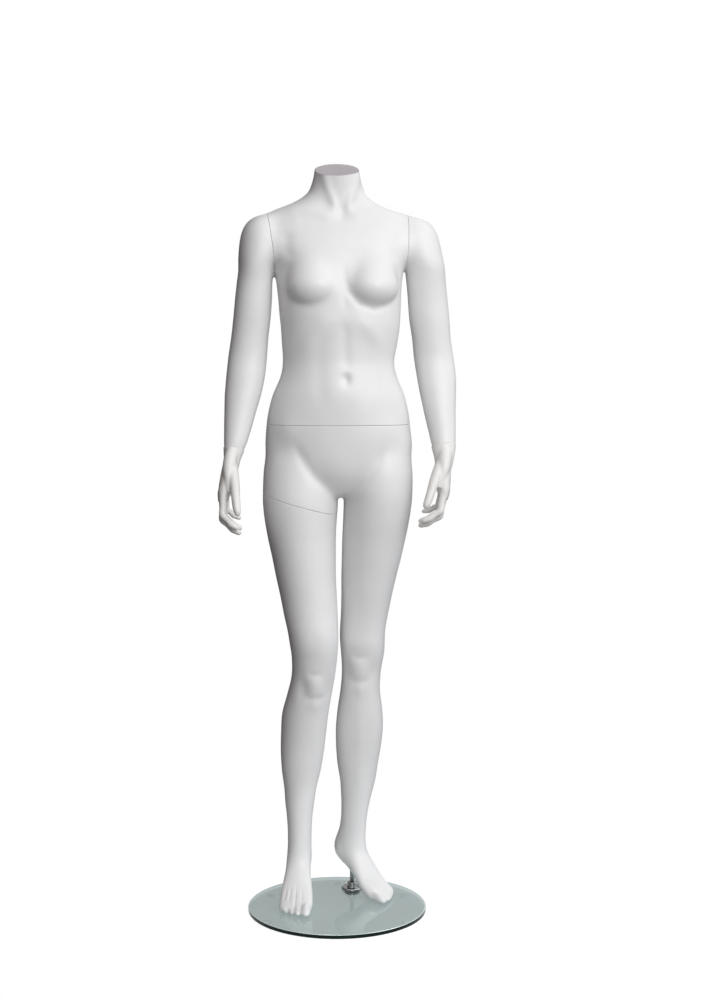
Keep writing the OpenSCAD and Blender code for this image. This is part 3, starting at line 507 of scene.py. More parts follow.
# ---- Smoothing and sculpting on numpy arrays ----
def coords(mesh):
    co = np.empty(len(mesh.vertices) * 3)
    mesh.vertices.foreach_get("co", co)
    return co.reshape(-1, 3)


def store(mesh, co):
    mesh.vertices.foreach_set("co", np.ascontiguousarray(co, dtype=np.float32).ravel())
    mesh.update()


def normals(mesh):
    no = np.empty(len(mesh.vertices) * 3, np.float32)
    mesh.vertex_normals.foreach_get("vector", no)
    return no.reshape(-1, 3).astype(float)


def edges_of(mesh):
    e = np.empty(len(mesh.edges) * 2, np.int32)
    mesh.edges.foreach_get("vertices", e)
    return e.reshape(-1, 2)


def relax(co, edges, rounds, weight, keep=0.0):
    """Laplacian smoothing; keep gives that share of each step back, against shrinking."""
    live = weight > 0.01
    near = live[edges[:, 0]] | live[edges[:, 1]]
    e = edges[near]
    used = np.unique(e)
    back = np.full(len(co), -1)
    back[used] = np.arange(len(used))
    e = back[e]
    c = co[used]
    w = (weight[used] * live[used])[:, None]
    n = len(used)
    i, j = np.concatenate([e[:, 0], e[:, 1]]), np.concatenate([e[:, 1], e[:, 0]])
    degree = np.maximum(np.bincount(i, minlength=n), 1)[:, None]
    for r in range(rounds):
        mean = np.stack([np.bincount(i, weights=c[j, k], minlength=n) for k in range(3)], axis=1) / degree
        step = 0.6 * w if r % 2 == 0 or not keep else -0.6 * keep * w
        c = c + step * (mean - c)
    out = co.copy()
    out[used] = c
    return out


def near_line(points, path):
    """Distance to a line of points, and how far along it the nearest place is."""
    path = np.array(path, float)
    best = np.full(len(points), 1e9)
    along = np.zeros(len(points))
    lengths = np.linalg.norm(np.diff(path, axis=0), axis=1)
    total, done = lengths.sum(), 0
    for a, b, length in zip(path[:-1], path[1:], lengths, strict=True):
        t = np.clip(((points - a) @ (b - a)) / length**2, 0, 1)
        d = np.linalg.norm(points - (a + t[:, None] * (b - a)), axis=1)
        closer = d < best
        best[closer] = d[closer]
        along[closer] = (done + t[closer] * length) / total
        done += length
    return best, along


def close_to(points, path, w):
    """Which points lie in the box round the path that a stroke of width w can reach."""
    path = np.array(path, float)
    return np.flatnonzero(((points > path.min(0) - 3 * w) & (points < path.max(0) + 3 * w)).all(axis=1))


def smoothstep(v, a, b):
    t = np.clip((v - a) / (b - a), 0, 1)
    return t * t * (3 - 2 * t)


def stroke(points, path, w, taper):
    """Strength of a stroke of width w at each point, fading out over taper at both ends."""
    d, t = near_line(points, path)
    return np.exp(-((d / w) ** 2)) * smoothstep(t, 0, taper) * smoothstep(1 - t, 0, taper)


class Clay:
    """A mesh in millimetres with the brushes that shape it."""

    def __init__(self, obj):
        self.obj = obj
        self.co = coords(obj.data)
        self.edges = edges_of(obj.data)
        self.look()

    def look(self):
        """Writes the points to the mesh and takes its new normals."""
        store(self.obj.data, self.co)
        self.no = normals(self.obj.data)

    def local(self, place):
        """Each point's x across a frame, and how much its normal faces the frame's front."""
        cx, cy, yaw = place
        a = math.radians(yaw)
        lx = (self.co[:, 0] - cx) * math.cos(a) + (self.co[:, 1] - cy) * math.sin(a)
        front = self.no[:, 0] * math.sin(a) - self.no[:, 1] * math.cos(a)
        return lx, front

    def facing(self, front, side):
        """1 where the skin faces the side that is worked on (-1 front, 1 back), down to 0."""
        return np.clip(front * -side * 1.8, 0, 1)

    def mound(self, place, x, z, w, h, push, side=-1, up=None):
        """Soft rise (or hollow) at x, z as seen from the front (side -1) or back (1)."""
        lx, front = self.local(place)
        lz = self.co[:, 2]
        reach = np.where(lz > z, up or h, h)
        r2 = ((lx - x) / w) ** 2 + ((lz - z) / reach) ** 2
        amount = push * np.exp(-r2) * self.facing(front, side)
        self.co += self.no * amount[:, None]

    def line(self, place, path, w, push, side=-1, taper=0.25):
        """Soft ridge (or crease) along a line of (x, z) points."""
        lx, front = self.local(place)
        flat = np.stack([lx, self.co[:, 2]], axis=1)
        near = close_to(flat, path, w)
        amount = push * stroke(flat[near], path, w, taper) * self.facing(front, side)[near]
        self.co[near] += self.no[near] * amount[:, None]

    def spot(self, centre, r, push):
        """Soft rise round a point in space."""
        d = (self.co - np.array(centre, float)) / np.array(r, float)
        amount = push * np.exp(-(d**2).sum(axis=1))
        self.co += self.no * amount[:, None]

    def seam_line(self, path, w, push, taper=0.2):
        """Soft ridge (or crease) along points in space."""
        near = close_to(self.co, path, w)
        amount = push * stroke(self.co[near], path, w, taper)
        self.co[near] += self.no[near] * amount[:, None]

    def smooth(self, rounds, weight=None, keep=0.0):
        """Smooths the whole mesh, or each point by its weight."""
        w = np.ones(len(self.co)) if weight is None else weight
        self.co = relax(self.co, self.edges, rounds, w, keep)
        self.look()

    def zone(self, centre, r):
        """Weight 1 at the centre that falls to 0 past the radii r."""
        d = (self.co - np.array(centre, float)) / np.array(r, float)
        return np.exp(-((d**2).sum(axis=1)) ** 2)


# ---- The body as one skin ----
def breast(m, deep):
    """One breast: m is 1 for the left side and -1 for the right."""
    bm = balls_hull(
        [
            [(m * 58, -55, 1324), (57, deep, 45)],
            [(m * 58, -46, 1385), (46, 30, 26)],
            [(m * 56, -22, 1440), (40, 30, 20)],
        ]
    )
    bm.transform(Matrix.Translation((CHEST[0], CHEST[1], 0)) @ turned(z=CHEST[2]))
    return bm


def soft_stretch(co, z0, z1, fade):
    """Weight 1 between two heights that fades out above and below."""
    z = co[:, 2]
    return smoothstep(z, z0 - fade, z0 + fade) * (1 - smoothstep(z, z1 - fade, z1 + fade))


forms = [form(TRUNK, 112), form(PELVIS, 112)]
forms += [form(LEG[side], 80) for side in SIDES] + [form(ARM[side], 64) for side in SIDES]
forms += foot_forms("left") + foot_forms("right")
body = union("body", forms, 2.8, [breast(1, 57), breast(-1, 49)])
clay = Clay(body)
hips_band = soft_stretch(clay.co, 895, 1000, 22)
waist_band = soft_stretch(clay.co, 1000, 1085, 25)
shoulders = soft_stretch(clay.co, 1385, 1500, 30)
clay.smooth(6)
clay.smooth(70, np.maximum.reduce([hips_band, 0.8 * waist_band, 0.9 * shoulders]))
for m in (1, -1):
    a = math.radians(CHEST[2])
    cx = CHEST[0] + m * 60 * math.cos(a) + 70 * math.sin(a)
    cy = CHEST[1] + m * 60 * math.sin(a) - 70 * math.cos(a)
    clay.smooth(60, clay.zone((cx, cy, 1402), (100, 90, 56)))
    clay.smooth(6, clay.zone((cx, cy, 1320), (95, 90, 60)))
for side in SIDES:
    ankle = foot_place(side) @ Vector((0, 140, 30))
    clay.smooth(200, clay.zone(ankle, (85, 85, 75)))

# Neck, collar bones and chest.
clay.mound(CHEST, 0, 1474, 13, 16, -5.5)
for m in (1, -1):
    clay.line(CHEST, [(m * 9, 1470), (m * 17, 1496), (m * 30, 1530), (m * 42, 1580)], 8, 3.2, -1, 0.2)
    clay.mound(CHEST, m * 34, 1492, 20, 14, -2.2)
    clay.line(CHEST, [(m * 15, 1466), (m * 45, 1472), (m * 80, 1478), (m * 118, 1476)], 8.5, 1.8, -1, 0.2)
    clay.line(CHEST, [(m * 30, 1456), (m * 62, 1460), (m * 96, 1458)], 13, -1.0, -1, 0.25)
    clay.line(CHEST, [(m * 112, 1440), (m * 116, 1400), (m * 104, 1372)], 12, -2.4, -1, 0.3)
clay.look()
clay.line(CHEST, [(0, 1380), (0, 1330), (0, 1262)], 9, -1.8, -1, 0.3)
for m, push in ((1, -2.4), (-1, -0.3)):
    fold = [(3, 1350), (8, 1312), (30, 1286), (62, 1276), (92, 1284), (110, 1304)]
    clay.line(CHEST, [(m * x, z) for x, z in fold], 6, push)
for m in (1, -1):
    clay.line(CHEST, [(m * 8, 1268), (m * 40, 1250), (m * 74, 1214), (m * 92, 1190)], 15, 1.6, -1, 0.3)
    clay.line(CHEST, [(m * 42, 1246), (m * 50, 1190), (m * 50, 1120), (m * 40, 1060)], 16, -1.5, -1, 0.3)
clay.line(CHEST, [(0, 1258), (2, 1200), (4, 1148)], 11, -2.0, -1, 0.25)
clay.mound(CHEST, 4, 1090, 60, 48, 4.0)
clay.mound(CHEST, 4, 1134, 11, 14, -3.2, up=16)
clay.mound(CHEST, 4, 1133, 5, 7, -4.5, up=9)
clay.mound(CHEST, 4, 1149, 9, 5, 1.4)
clay.look()

# Back: spine, shoulder blades, dimples.
clay.line(CHEST, [(0, 1500), (0, 1400), (0, 1260), (0, 1150), (-1, 1040)], 13, -5.0, 1, 0.15)
for m in (1, -1):
    clay.mound(CHEST, m * 72, 1385, 44, 58, 5.0, 1)
    clay.line(CHEST, [(m * 44, 1440), (m * 46, 1390), (m * 58, 1335), (m * 78, 1318)], 12, -1.6, 1, 0.4)
    clay.line(CHEST, [(m * 38, 1462), (m * 80, 1452), (m * 120, 1448)], 9, 2.0, 1, 0.3)
    clay.line(CHEST, [(m * 26, 1260), (m * 28, 1150), (m * 30, 1060)], 18, 2.2, 1, 0.25)
    clay.mound(HIPS, m * 30, 1034, 9, 10, -2.2, 1)
clay.look()

# Pelvis: hip bones, the lines of the groin, the seat.
for m in (1, -1):
    clay.mound(HIPS, m * 106, 1030, 22, 26, 2.4)
clay.line(HIPS, [(-96, 1012), (-78, 975), (-52, 935), (-26, 907), (-8, 895)], 9, -3.6, -1, 0.3)
clay.line(HIPS, [(96, 1002), (80, 965), (54, 929), (28, 905), (8, 895)], 9, -3.6, -1, 0.3)
clay.mound(HIPS, 0, 935, 40, 44, 4.5)
clay.look()
clay.smooth(8, clay.zone((0, -80, 960), (160, 70, 85)))
clay.line(HIPS, [(0, 1014), (0, 975), (0, 930), (0, 898)], 11, -10, 1, 0.45)
for m in (1, -1):
    clay.mound(HIPS, m * 66, 945, 48, 46, 9, 1)
    clay.mound(HIPS, m * 120, 960, 22, 34, -3, 1)
clay.look()
for m in (1, -1):
    clay.line(HIPS, [(m * 12, 898), (m * 40, 884), (m * 70, 882), (m * 100, 894)], 7, -5.0, 1, 0.3)
clay.look()

# Knees, shins and ankles.
for cx, kz in ((49, 520), (-47, 494)):
    knee = (cx, 0, 3)
    clay.mound(knee, 0, kz, 19, 23, 4.6)
    clay.mound(knee, 26, kz - 6, 11, 26, -3.2)
    clay.mound(knee, -26, kz - 6, 11, 26, -3.2)
    clay.mound(knee, 0, kz - 44, 10, 16, 2.4)
    clay.line(knee, [(-20, kz - 14), (-12, kz - 27), (12, kz - 27), (20, kz - 14)], 7, -1.8)
    clay.line(knee, [(-18, kz + 30), (0, kz + 25), (18, kz + 30)], 7, -1.8)
    clay.line(knee, [(0, kz - 60), (2, kz - 160), (0, kz - 300)], 9, 1.2)
    clay.line(knee, [(-26, kz + 4), (0, kz), (26, kz + 4)], 7, -2.2, 1)
    clay.line(knee, [(-27, kz + 60), (-25, kz + 10), (-24, kz - 30)], 9, 2.0, 1)
    clay.line(knee, [(27, kz + 60), (25, kz + 10), (24, kz - 30)], 9, 2.0, 1)
clay.look()
clay.smooth(4)


# ---- Feet, finer than the rest ----
def fine_foot(side):
    """Search tree of a foot made at a finer voxel than the body."""
    o = union("foot", [form(LEG[side][:6], 80, 2)] + foot_forms(side), 1.2)
    fine = Clay(o)
    fine.smooth(5)
    tree = BVHTree.FromPolygons(fine.co.tolist(), [tuple(p.vertices) for p in o.data.polygons])
    bpy.data.objects.remove(o)
    return tree


def refine_feet(o):
    bm = bmesh_of(o.data)
    low = {e for e in bm.edges if max(v.co.z for v in e.verts) < FOOT_TOP + 8}
    bmesh.ops.subdivide_edges(bm, edges=list(low), cuts=1, use_grid_fill=True)
    trees = {side: fine_foot(side) for side in SIDES}
    for v in bm.verts:
        if v.co.z > FOOT_TOP:
            continue
        at, _, _, _ = trees["left" if v.co.x > -25 else "right"].find_nearest(v.co)
        share = float(smoothstep(FOOT_TOP - v.co.z, 0, 30))
        v.co = v.co.lerp(at, share)
    bm.to_mesh(o.data)
    bm.free()


refine_feet(body)
clay = Clay(body)
clay.smooth(10, (1 - smoothstep(clay.co[:, 2], FOOT_TOP - 10, FOOT_TOP + 20)) * 0.8)


def instep(x, s):
    """Height of the top of the foot at x, s millimetres from the back of the heel."""
    at = [r[0] for r in FOOT]
    xl, xr, low, high, square = (np.interp(s, at, [r[k] for r in FOOT]) for k in range(1, 6))
    out = min(abs((x - (xl + xr) / 2) / ((xr - xl) / 2)), 1)
    return (low + high) / 2 + (high - low) / 2 * (1 - out**square) ** (1 / square)


for side in SIDES:
    place = foot_place(side)

    def on_foot(*p, place=place):
        return list(place @ Vector(p))

    clay.smooth(16, clay.zone(on_foot(2, 30, TOE_ROOT + 6), (50, 50, 24)) * 0.9)
    clay.spot(on_foot(-30, 98, 34), (13, 14, 14), 1.8)
    clay.spot(on_foot(31, 88, 30), (12, 14, 13), 1.8)
    clay.spot(on_foot(0, 70, 4), (16, 40, 16), -1.0)
    clay.look()
    for i, (x0, tip, half_w, half_h) in enumerate(TOES):
        top = SOLE + 2 * half_h
        tendon = [on_foot(x0 * 0.45, 66, 84), on_foot(x0 * 0.85, 44, 118), on_foot(x0, top, 142)]
        clay.seam_line(tendon, 3.2, 0.6)
        clay.spot(on_foot(x0, top + 1, TOE_ROOT + (tip - TOE_ROOT) * 0.45), (half_w * 0.8, 4, 4), 0.5)
        nail = []
        for t in np.linspace(0.3, 5.98, 14):
            w, reach = half_w * 0.56 * math.sin(t), (half_w * 0.5 + 1) * math.cos(t)
            nail.append(on_foot(x0 + w, SOLE + half_h * 1.8, tip - half_w * 0.75 - reach * 0.8))
        clay.seam_line(nail, 0.9, -0.55, 0.02)
        if i:
            before = TOES[i - 1]
            gap = (before[0] + before[2] + x0 - half_w) / 2
            end = min(before[1], tip)
            path = [(gap * s, instep(gap * s, at), at) for s, at in ((0.86, 112), (0.93, 124), (1, 136))]
            path += [(gap, top + 2, end - 12), (gap, top - 2, end - 5), (gap, SOLE + half_h, end + 1)]
            clay.seam_line([on_foot(*p) for p in path], 1.9, -1.4, 0.35)
    clay.look()
clay.smooth(1, (1 - smoothstep(clay.co[:, 2], FOOT_TOP, FOOT_TOP + 10)) * 0.5)


# ---- Cutting the skin into the real pieces ----
# Half the gap of a seam; each seam is (a point on it, its normal).
SEAM = 0.25
hinges = [j for j in frame["joints"] if j["type"] == "hinge"]
seams = {j["name"]: (Vector(j["pos_m"]) * 1000, Vector(j["axis"])) for j in hinges}
seams["thigh"] = (Vector((-76, 14, 873)), turned(y=15.6) @ Vector((0, 0, 1)))
neck = (Vector((0, 0, 1565)), turned(x=20) @ Vector((0, 0, 1)))


def height_over(seam, place):
    return (place - seam[0]) @ seam[1]


def with_rims(faces):
    """The faces with their corners and edges, for a cut."""
    geom = set(faces)
    for f in faces:
        geom.update(f.verts)
        geom.update(f.edges)
    return list(geom)


def slit(bm, seam, inside):
    """Opens a seam with rounded lips in the part of the skin where inside(centre) holds."""
    point, normal = seam

    def there():
        near = []
        for f in pool:
            if not f.is_valid:
                continue
            c = f.calc_center_median()
            if abs(height_over(seam, c)) < 12 and inside(c):
                near.append(f)
        return near

    pool = [f for f in bm.faces if abs(height_over(seam, f.verts[0].co)) < 18]
    for off in (SEAM, -SEAM, SEAM + 0.6, -SEAM - 0.6, SEAM + 1.6, -SEAM - 1.6):
        geom = with_rims(there())
        bmesh.ops.bisect_plane(bm, geom=geom, dist=0.02, plane_co=point + normal * off, plane_no=normal)
        pool = {f for g in geom if g.is_valid and isinstance(g, bmesh.types.BMVert) for f in g.link_faces}
    strip = [f for f in there() if abs(height_over(seam, f.calc_center_median())) < SEAM]
    bmesh.ops.delete(bm, geom=strip, context="FACES")
    bm.normal_update()
    drop = {}
    for f in there():
        for v in f.verts:
            h = abs(height_over(seam, v.co))
            if h < SEAM + 0.05:
                drop[v] = 0.5
            elif h < SEAM + 0.65:
                drop[v] = 0.1
    moved = {v: v.co - (v.normal - normal * (v.normal @ normal)) * d for v, d in drop.items()}
    for v, to in moved.items():
        v.co = to


def islands(bm):
    """Lists of faces that hang together, the largest first."""
    bm.faces.index_update()
    bm.verts.index_update()
    seen, out = set(), []
    for f in bm.faces:
        if f.index in seen:
            continue
        stack, found = [f], []
        seen.add(f.index)
        while stack:
            g = stack.pop()
            found.append(g)
            for e in g.edges:
                for h in e.link_faces:
                    if h.index not in seen:
                        seen.add(h.index)
                        stack.append(h)
        out.append(found)
    return sorted(out, key=len, reverse=True)


def give_wall(bm, seam, wall=4.6, depth=8):
    """Gives the open rim at a seam its flat lip and the start of the inside."""
    normal = seam[1]
    bm.normal_update()
    rim = [e for e in bm.edges if e.is_boundary and all(abs(height_over(seam, v.co)) < 1 for v in e.verts)]
    if not rim:
        return
    way = sum(height_over(seam, f.calc_center_median()) for e in rim for f in e.link_faces)
    back = normal if way > 0 else -normal
    inward = {}
    for v in {v for e in rim for v in e.verts}:
        n = v.normal - normal * (v.normal @ normal)
        inward[v] = -n.normalized()
    for step_in, step_back in ((wall, 0), (0, depth)):
        made = bmesh.ops.extrude_edge_only(bm, edges=rim)["geom"]
        verts = [g for g in made if isinstance(g, bmesh.types.BMVert)]
        fresh = set(verts)
        carried = {}
        for v in verts:
            for e in v.link_edges:
                o = e.other_vert(v)
                if o in inward and o not in fresh:
                    carried[v] = inward[o]
        for v, d in carried.items():
            v.co += d * step_in + back * step_back
        inward = carried
        rim = [g for g in made if isinstance(g, bmesh.types.BMEdge) and g.is_boundary]


def piece_of(faces, walls):
    """A new bmesh with only these faces, with a wall at each of its seams."""
    index, verts, polys = {}, [], []
    for f in faces:
        poly = []
        for v in f.verts:
            if v.index not in index:
                index[v.index] = len(verts)
                verts.append(v.co)
            poly.append(index[v.index])
        polys.append(poly)
    mesh = bpy.data.meshes.new("piece")
    mesh.from_pydata(verts, [], polys)
    out = bmesh_of(mesh)
    bpy.data.meshes.remove(mesh)
    for seam in walls:
        give_wall(out, seam)
    return out


def mesh_object(name, bm, body_name, slot_name, cad):
    """The finished piece in metres, riding on its body in place of the CAD nodes."""
    bmesh.ops.recalc_face_normals(bm, faces=bm.faces)
    bmesh.ops.scale(bm, vec=(MM, MM, MM), verts=bm.verts)
    mesh = bpy.data.meshes.new(name)
    bm.to_mesh(mesh)
    bm.free()
    mesh.polygons.foreach_set("use_smooth", [True] * len(mesh.polygons))
    o = new_object(name, mesh)
    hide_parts(*cad)
    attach(o, body_name)
    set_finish(o, slot_name)
    return o


def centre_of(faces):
    return sum((f.calc_center_median() for f in faces), Vector()) / len(faces)


skin = bmesh_of(body.data)
bpy.data.objects.remove(body)
slit(skin, seams["waist_turn"], lambda c: -165 < c.x < 168)
slit(skin, seams["thigh"], lambda c: c.x < 6)
slit(skin, seams["left_shoulder"], lambda c: c.z > 1280 and c.x > 100)
slit(skin, seams["right_shoulder"], lambda c: c.z > 1280 and c.x < -100)
slit(skin, seams["left_wrist"], lambda c: c.x > 170)
slit(skin, seams["right_wrist"], lambda c: c.x < -165)
high_up = [f for f in skin.faces if f.calc_center_median().z > 1500]
over = [f for f in high_up if height_over(neck, f.calc_center_median()) > -20]
bmesh.ops.bisect_plane(
    skin, geom=with_rims(over), dist=0.02, plane_co=neck[0], plane_no=neck[1], clear_outer=True
)

found = {}
for faces in islands(skin):
    c = centre_of(faces)
    if len(faces) < 400:
        continue
    if c.z > 1100 and abs(c.x) < 90:
        name = "torso"
    elif c.z > 1030 and abs(c.x) > 90:
        name = "left_arm" if c.x > 0 else "right_arm"
    elif c.z < 1000 and abs(c.x) < 150:
        name = "right_leg" if c.x < -20 else "hips_left_leg"
    else:
        continue
    found[name] = faces

# Each shell's body and the seams that end it.
SHELLS = {
    "torso": ("torso", ["waist_turn", "left_shoulder", "right_shoulder"]),
    "hips_left_leg": ("lower_body", ["waist_turn", "thigh"]),
    "right_leg": ("right_leg", ["thigh"]),
    "left_arm": ("left_arm", ["left_shoulder", "left_wrist"]),
    "right_arm": ("right_arm", ["right_shoulder", "right_wrist"]),
}
shells = {}
for name, (rides, cuts) in SHELLS.items():
    part = piece_of(found[name], [seams[c] for c in cuts])
    shells[name] = mesh_object(name, part, rides, "body_white", [name + "_shell"])
skin.free()


# ---- Hands ----
def size_of(name):
    """Lowest and highest corner of a CAD piece, in millimetres."""
    low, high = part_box(name)
    return low * 1000, high * 1000


def hand(side):
    o = union("hand", [form(ARM[side][:5], 64, 3)] + hand_forms(side), 1.1)
    clay = Clay(o)
    place = hand_place(side)
    clay.smooth(5)
    clay.smooth(44, clay.zone(place @ Vector((0, -14, -58)), (60, 60, 46)), 0.3)

    def at(*p):
        return list(place @ Vector(p))

    for start, bones, bends, r in FINGERS:
        joints = finger_joints(start, bones, bends)
        x, y, z = start
        clay.spot(at(x - r, y, z + 4), (7, 7, 9), 1.3)
        clay.seam_line([at(x - 11, y * 0.9, z + 14), at(-14, y * 0.45, -40)], 2.6, 0.7)
        for k in (1, 2):
            out = bent((bends[k - 1] + bends[k]) / 2)[1] * r * 0.8
            clay.spot(at(*(joints[k] + out)), (4.5, 5, 4), 0.5)
            clay.spot(at(*(joints[k] - out)), (2, 7, 2), -0.7)
        tip, back = bent(bends[2])
        nail = joints[3] - tip * 7 + back * r * 0.62
        clay.look()
        rim = []
        for t in np.linspace(0.9, 5.4, 12):
            rim.append(at(*(nail + tip * (5.2 * math.cos(t)) + np.array([0, r * 0.45 * math.sin(t), 0]))))
        clay.seam_line(rim, 0.8, -0.35, 0.05)
    clay.look()
    clay.spot(at(36, -54, -134), (4, 3, 6), -0.2)
    clay.seam_line([at(14, -14, -48), at(15, -16, -62), at(16, -18, -80)], 4, -1.0)
    clay.look()
    clay.smooth(2)
    # Narrowed where needed, so that the hand stays inside its CAD box.
    low, high = size_of(side + "_hand")
    middle = (low.x + high.x) / 2
    room = (high.x - low.x) / 2 - 0.1
    spread = np.abs(clay.co[clay.co[:, 2] < place.translation.z - 20, 0] - middle).max()
    clay.co[:, 0] = middle + (clay.co[:, 0] - middle) * min(1, room / spread)
    clay.look()
    bm = bmesh_of(o.data)
    bpy.data.objects.remove(o)
    seam = seams[side + "_wrist"]
    slit(bm, seam, lambda c: True)
    lowest = min((f for f in islands(bm) if len(f) > 2000), key=lambda f: centre_of(f).z)
    part = piece_of(lowest, [seam])
    bm.free()
    return mesh_object(side + "_hand_skin", part, side + "_hand", "hand_white", [side + "_hand"])


hands = {side: hand(side) for side in SIDES}


# ---- Rings of points into skins ----
def ring_faces(bm, loops, slots=None):
    """Skin between neighbouring loops, or a loop and a single point; slots gives each band's material."""
    for i, (a, c) in enumerate(zip(loops[:-1], loops[1:], strict=True)):
        count = max(len(a), len(c))
        for k in range(count):
            n = (k + 1) % count
            if len(a) == 1:
                f = bm.faces.new((a[0], c[n], c[k]))
            elif len(c) == 1:
                f = bm.faces.new((a[k], a[n], c[0]))
            else:
                f = bm.faces.new((a[k], a[n], c[n], c[k]))
            f.material_index = slots[i] if slots else 0


def split_edges(o, degrees):
    """Sharp shading where faces meet at more than this angle."""
    o.modifiers.new("edges", "EDGE_SPLIT").split_angle = math.radians(degrees)
    return o


# ---- Neck face ----
def neck_face():
    bm = bmesh_of(shells["torso"].data)
    bmesh.ops.scale(bm, vec=(1000, 1000, 1000), verts=bm.verts)
    rim = [v.co.copy() for v in bm.verts if v.is_boundary and abs(height_over(neck, v.co)) < 0.5]
    bm.free()
    mid = sum(rim, Vector()) / len(rim)
    ax = Vector((1, 0, 0))
    ay = neck[1].cross(ax)
    rim.sort(key=lambda c: math.atan2((c - mid) @ ay, (c - mid) @ ax))
    out = bmesh.new()
    loops = []
    for share, drop in ((1.0, 0.6), (0.985, 0.05), (0.965, -0.25), (0.93, -0.3), (0.6, -0.3), (0.25, -0.3)):
        loops.append([out.verts.new(mid + (c - mid) * share - neck[1] * drop) for c in rim])
    ring_faces(out, loops)
    out.faces.new(loops[-1])
    return mesh_object("neck_face", out, "torso", "neck_face", ["neck_cap"])


neck_top = neck_face()


# ---- Round metal and glass parts ----
def spun(name, profile, centre, body_name, slot_name, cad, sides=128):
    """Turned part: profile is (radius, height) pairs, bottom to top, closed on the axis."""
    bm = bmesh.new()
    rings = []
    for r, h in profile:
        if r == 0:
            rings.append([bm.verts.new((0, 0, h))])
        else:
            rings.append([bm.verts.new((r * math.cos(w), r * math.sin(w), h)) for w in around(sides)])
    ring_faces(bm, rings)
    bm.transform(Matrix.Translation(centre))
    return split_edges(mesh_object(name, bm, body_name, slot_name, cad), 50)


def toward(a, c, share):
    return tuple(p + (q - p) * share for p, q in zip(a, c, strict=True))


def glass_disc():
    """The disc with its hole; rings are (centre x, centre y, radius, height)."""
    low, high = size_of("glass_base")
    r = (high.x - low.x) / 2
    gx, gy = (high.x + low.x) / 2, (high.y + low.y) / 2
    hole = 7.0
    outer_top, hole_top = (gx, gy, r - 2.4, high.z), (rod_x, rod_y, hole + 0.6, high.z)
    outer_low, hole_low = (gx, gy, r - 0.8, low.z), (rod_x, rod_y, hole + 0.6, low.z)
    rings = [
        (gx, gy, r, low.z + 0.4),
        (gx, gy, r, high.z - 0.9),
        (gx, gy, r - 0.35, high.z - 0.5),
        (gx, gy, r - 1.1, high.z - 0.15),
        outer_top,
        toward(outer_top, hole_top, 0.4),
        toward(outer_top, hole_top, 0.8),
        hole_top,
        (rod_x, rod_y, hole, high.z - 0.6),
        (rod_x, rod_y, hole, low.z + 0.6),
        hole_low,
        toward(hole_low, outer_low, 0.2),
        toward(hole_low, outer_low, 0.6),
        outer_low,
    ]
    bm = bmesh.new()
    loops = []
    for cx, cy, r, h in rings:
        loops.append([bm.verts.new((cx + r * math.cos(w), cy + r * math.sin(w), h)) for w in around(192)])
    # 0 top face, 1 ground edge painted near-black as shade, 2 bevel painted pale as a highlight, 3 underside
    ring_faces(bm, loops + loops[:1], [1, 1, 2, 2, 0, 0, 0, 1, 1, 1, 3, 3, 3, 1])
    return split_edges(mesh_object("glass_disc", bm, "base", "glass", ["glass_base"]), 35)


rod_low, rod_high = size_of("support_rod")
rod_x, rod_y = (rod_low.x + rod_high.x) / 2, (rod_low.y + rod_high.y) / 2
glass = glass_disc()

flange_low, flange_high = size_of("base_flange")
fl, fh = flange_low.z, flange_high.z
fr = (flange_high.x - flange_low.x) / 2
flange_profile = [
    (0, fl), (fr - 0.5, fl), (fr, fl + 0.5), (fr, fl + 2.6), (fr - 0.35, fl + 3.4), (fr - 1.2, fl + 3.9),
    (fr - 2.2, fl + 4), (13.4, fl + 4), (12.6, fl + 3.7), (11.8, fl + 4), (11, fl + 4.2), (10.3, fl + 4.9),
    (10, fl + 6), (10, fh - 1.4), (9.8, fh - 0.7), (9.2, fh - 0.2), (8.6, fh), (5.6, fh), (5.08, fh - 0.5),
    (5.08, fl + 5), (0, fl + 5),
]
flange = spun("flange", flange_profile, (rod_x, rod_y, 0), "base", "chrome", ["base_flange"])
rr = (rod_high.x - rod_low.x) / 2
foot, head = rod_low.z, rod_high.z
rod_profile = [(0, foot), (rr - 0.6, foot), (rr, foot + 0.6), (rr, head - 1), (rr - 1, head), (0, head)]
rod_body = next(n for n, b in frame["record"]["behaviour"]["bodies"].items() if "support_rod" in b)
rod_piece = spun("rod", rod_profile, (rod_x, rod_y, 0), rod_body, "chrome", ["support_rod"], 64)


def set_screw():
    """Shank and knurled head along X, with a hexagon socket; profile is (radius, place along X)."""
    lo, hi = size_of("rod_set_screw")
    mid = (lo + hi) / 2
    head_r = (hi.y - lo.y) / 2
    shank = 2.45
    head = hi.x - 5
    profile = [
        (shank - 0.4, lo.x), (shank, lo.x + 0.5), (shank, head), (head_r - 0.5, head), (head_r, head + 0.5),
        (head_r, hi.x - 0.7), (head_r - 0.7, hi.x), (2.6, hi.x), (2.3, hi.x - 0.3), (2.3, hi.x - 2.4),
    ]
    knurled, hexagonal = (4, 5), (7, 8, 9)
    bm = bmesh.new()
    loops = []
    for i, (radius, x) in enumerate(profile):
        loop = []
        for k, w in enumerate(around(96)):
            q = radius
            if i in knurled and k % 4 in (0, 1):
                q = radius - 0.28
            elif i in hexagonal:
                q = radius * math.cos(math.radians(30)) / math.cos(w % math.radians(60) - math.radians(30))
            loop.append(bm.verts.new((x, mid.y + q * math.cos(w), mid.z + q * math.sin(w))))
        loops.append(loop)
    ring_faces(bm, loops)
    bm.faces.new(loops[0])
    bm.faces.new(loops[-1])
    return split_edges(mesh_object("set_screw_head", bm, "set_screw", "chrome", ["rod_set_screw"]), 35)


screw = set_screw()


# ---- Materials ----
def material(name):
    m = bpy.data.materials.new(name)
    m.use_nodes = True
    nt = m.node_tree
    return m, nt, nt.nodes["Principled BSDF"]


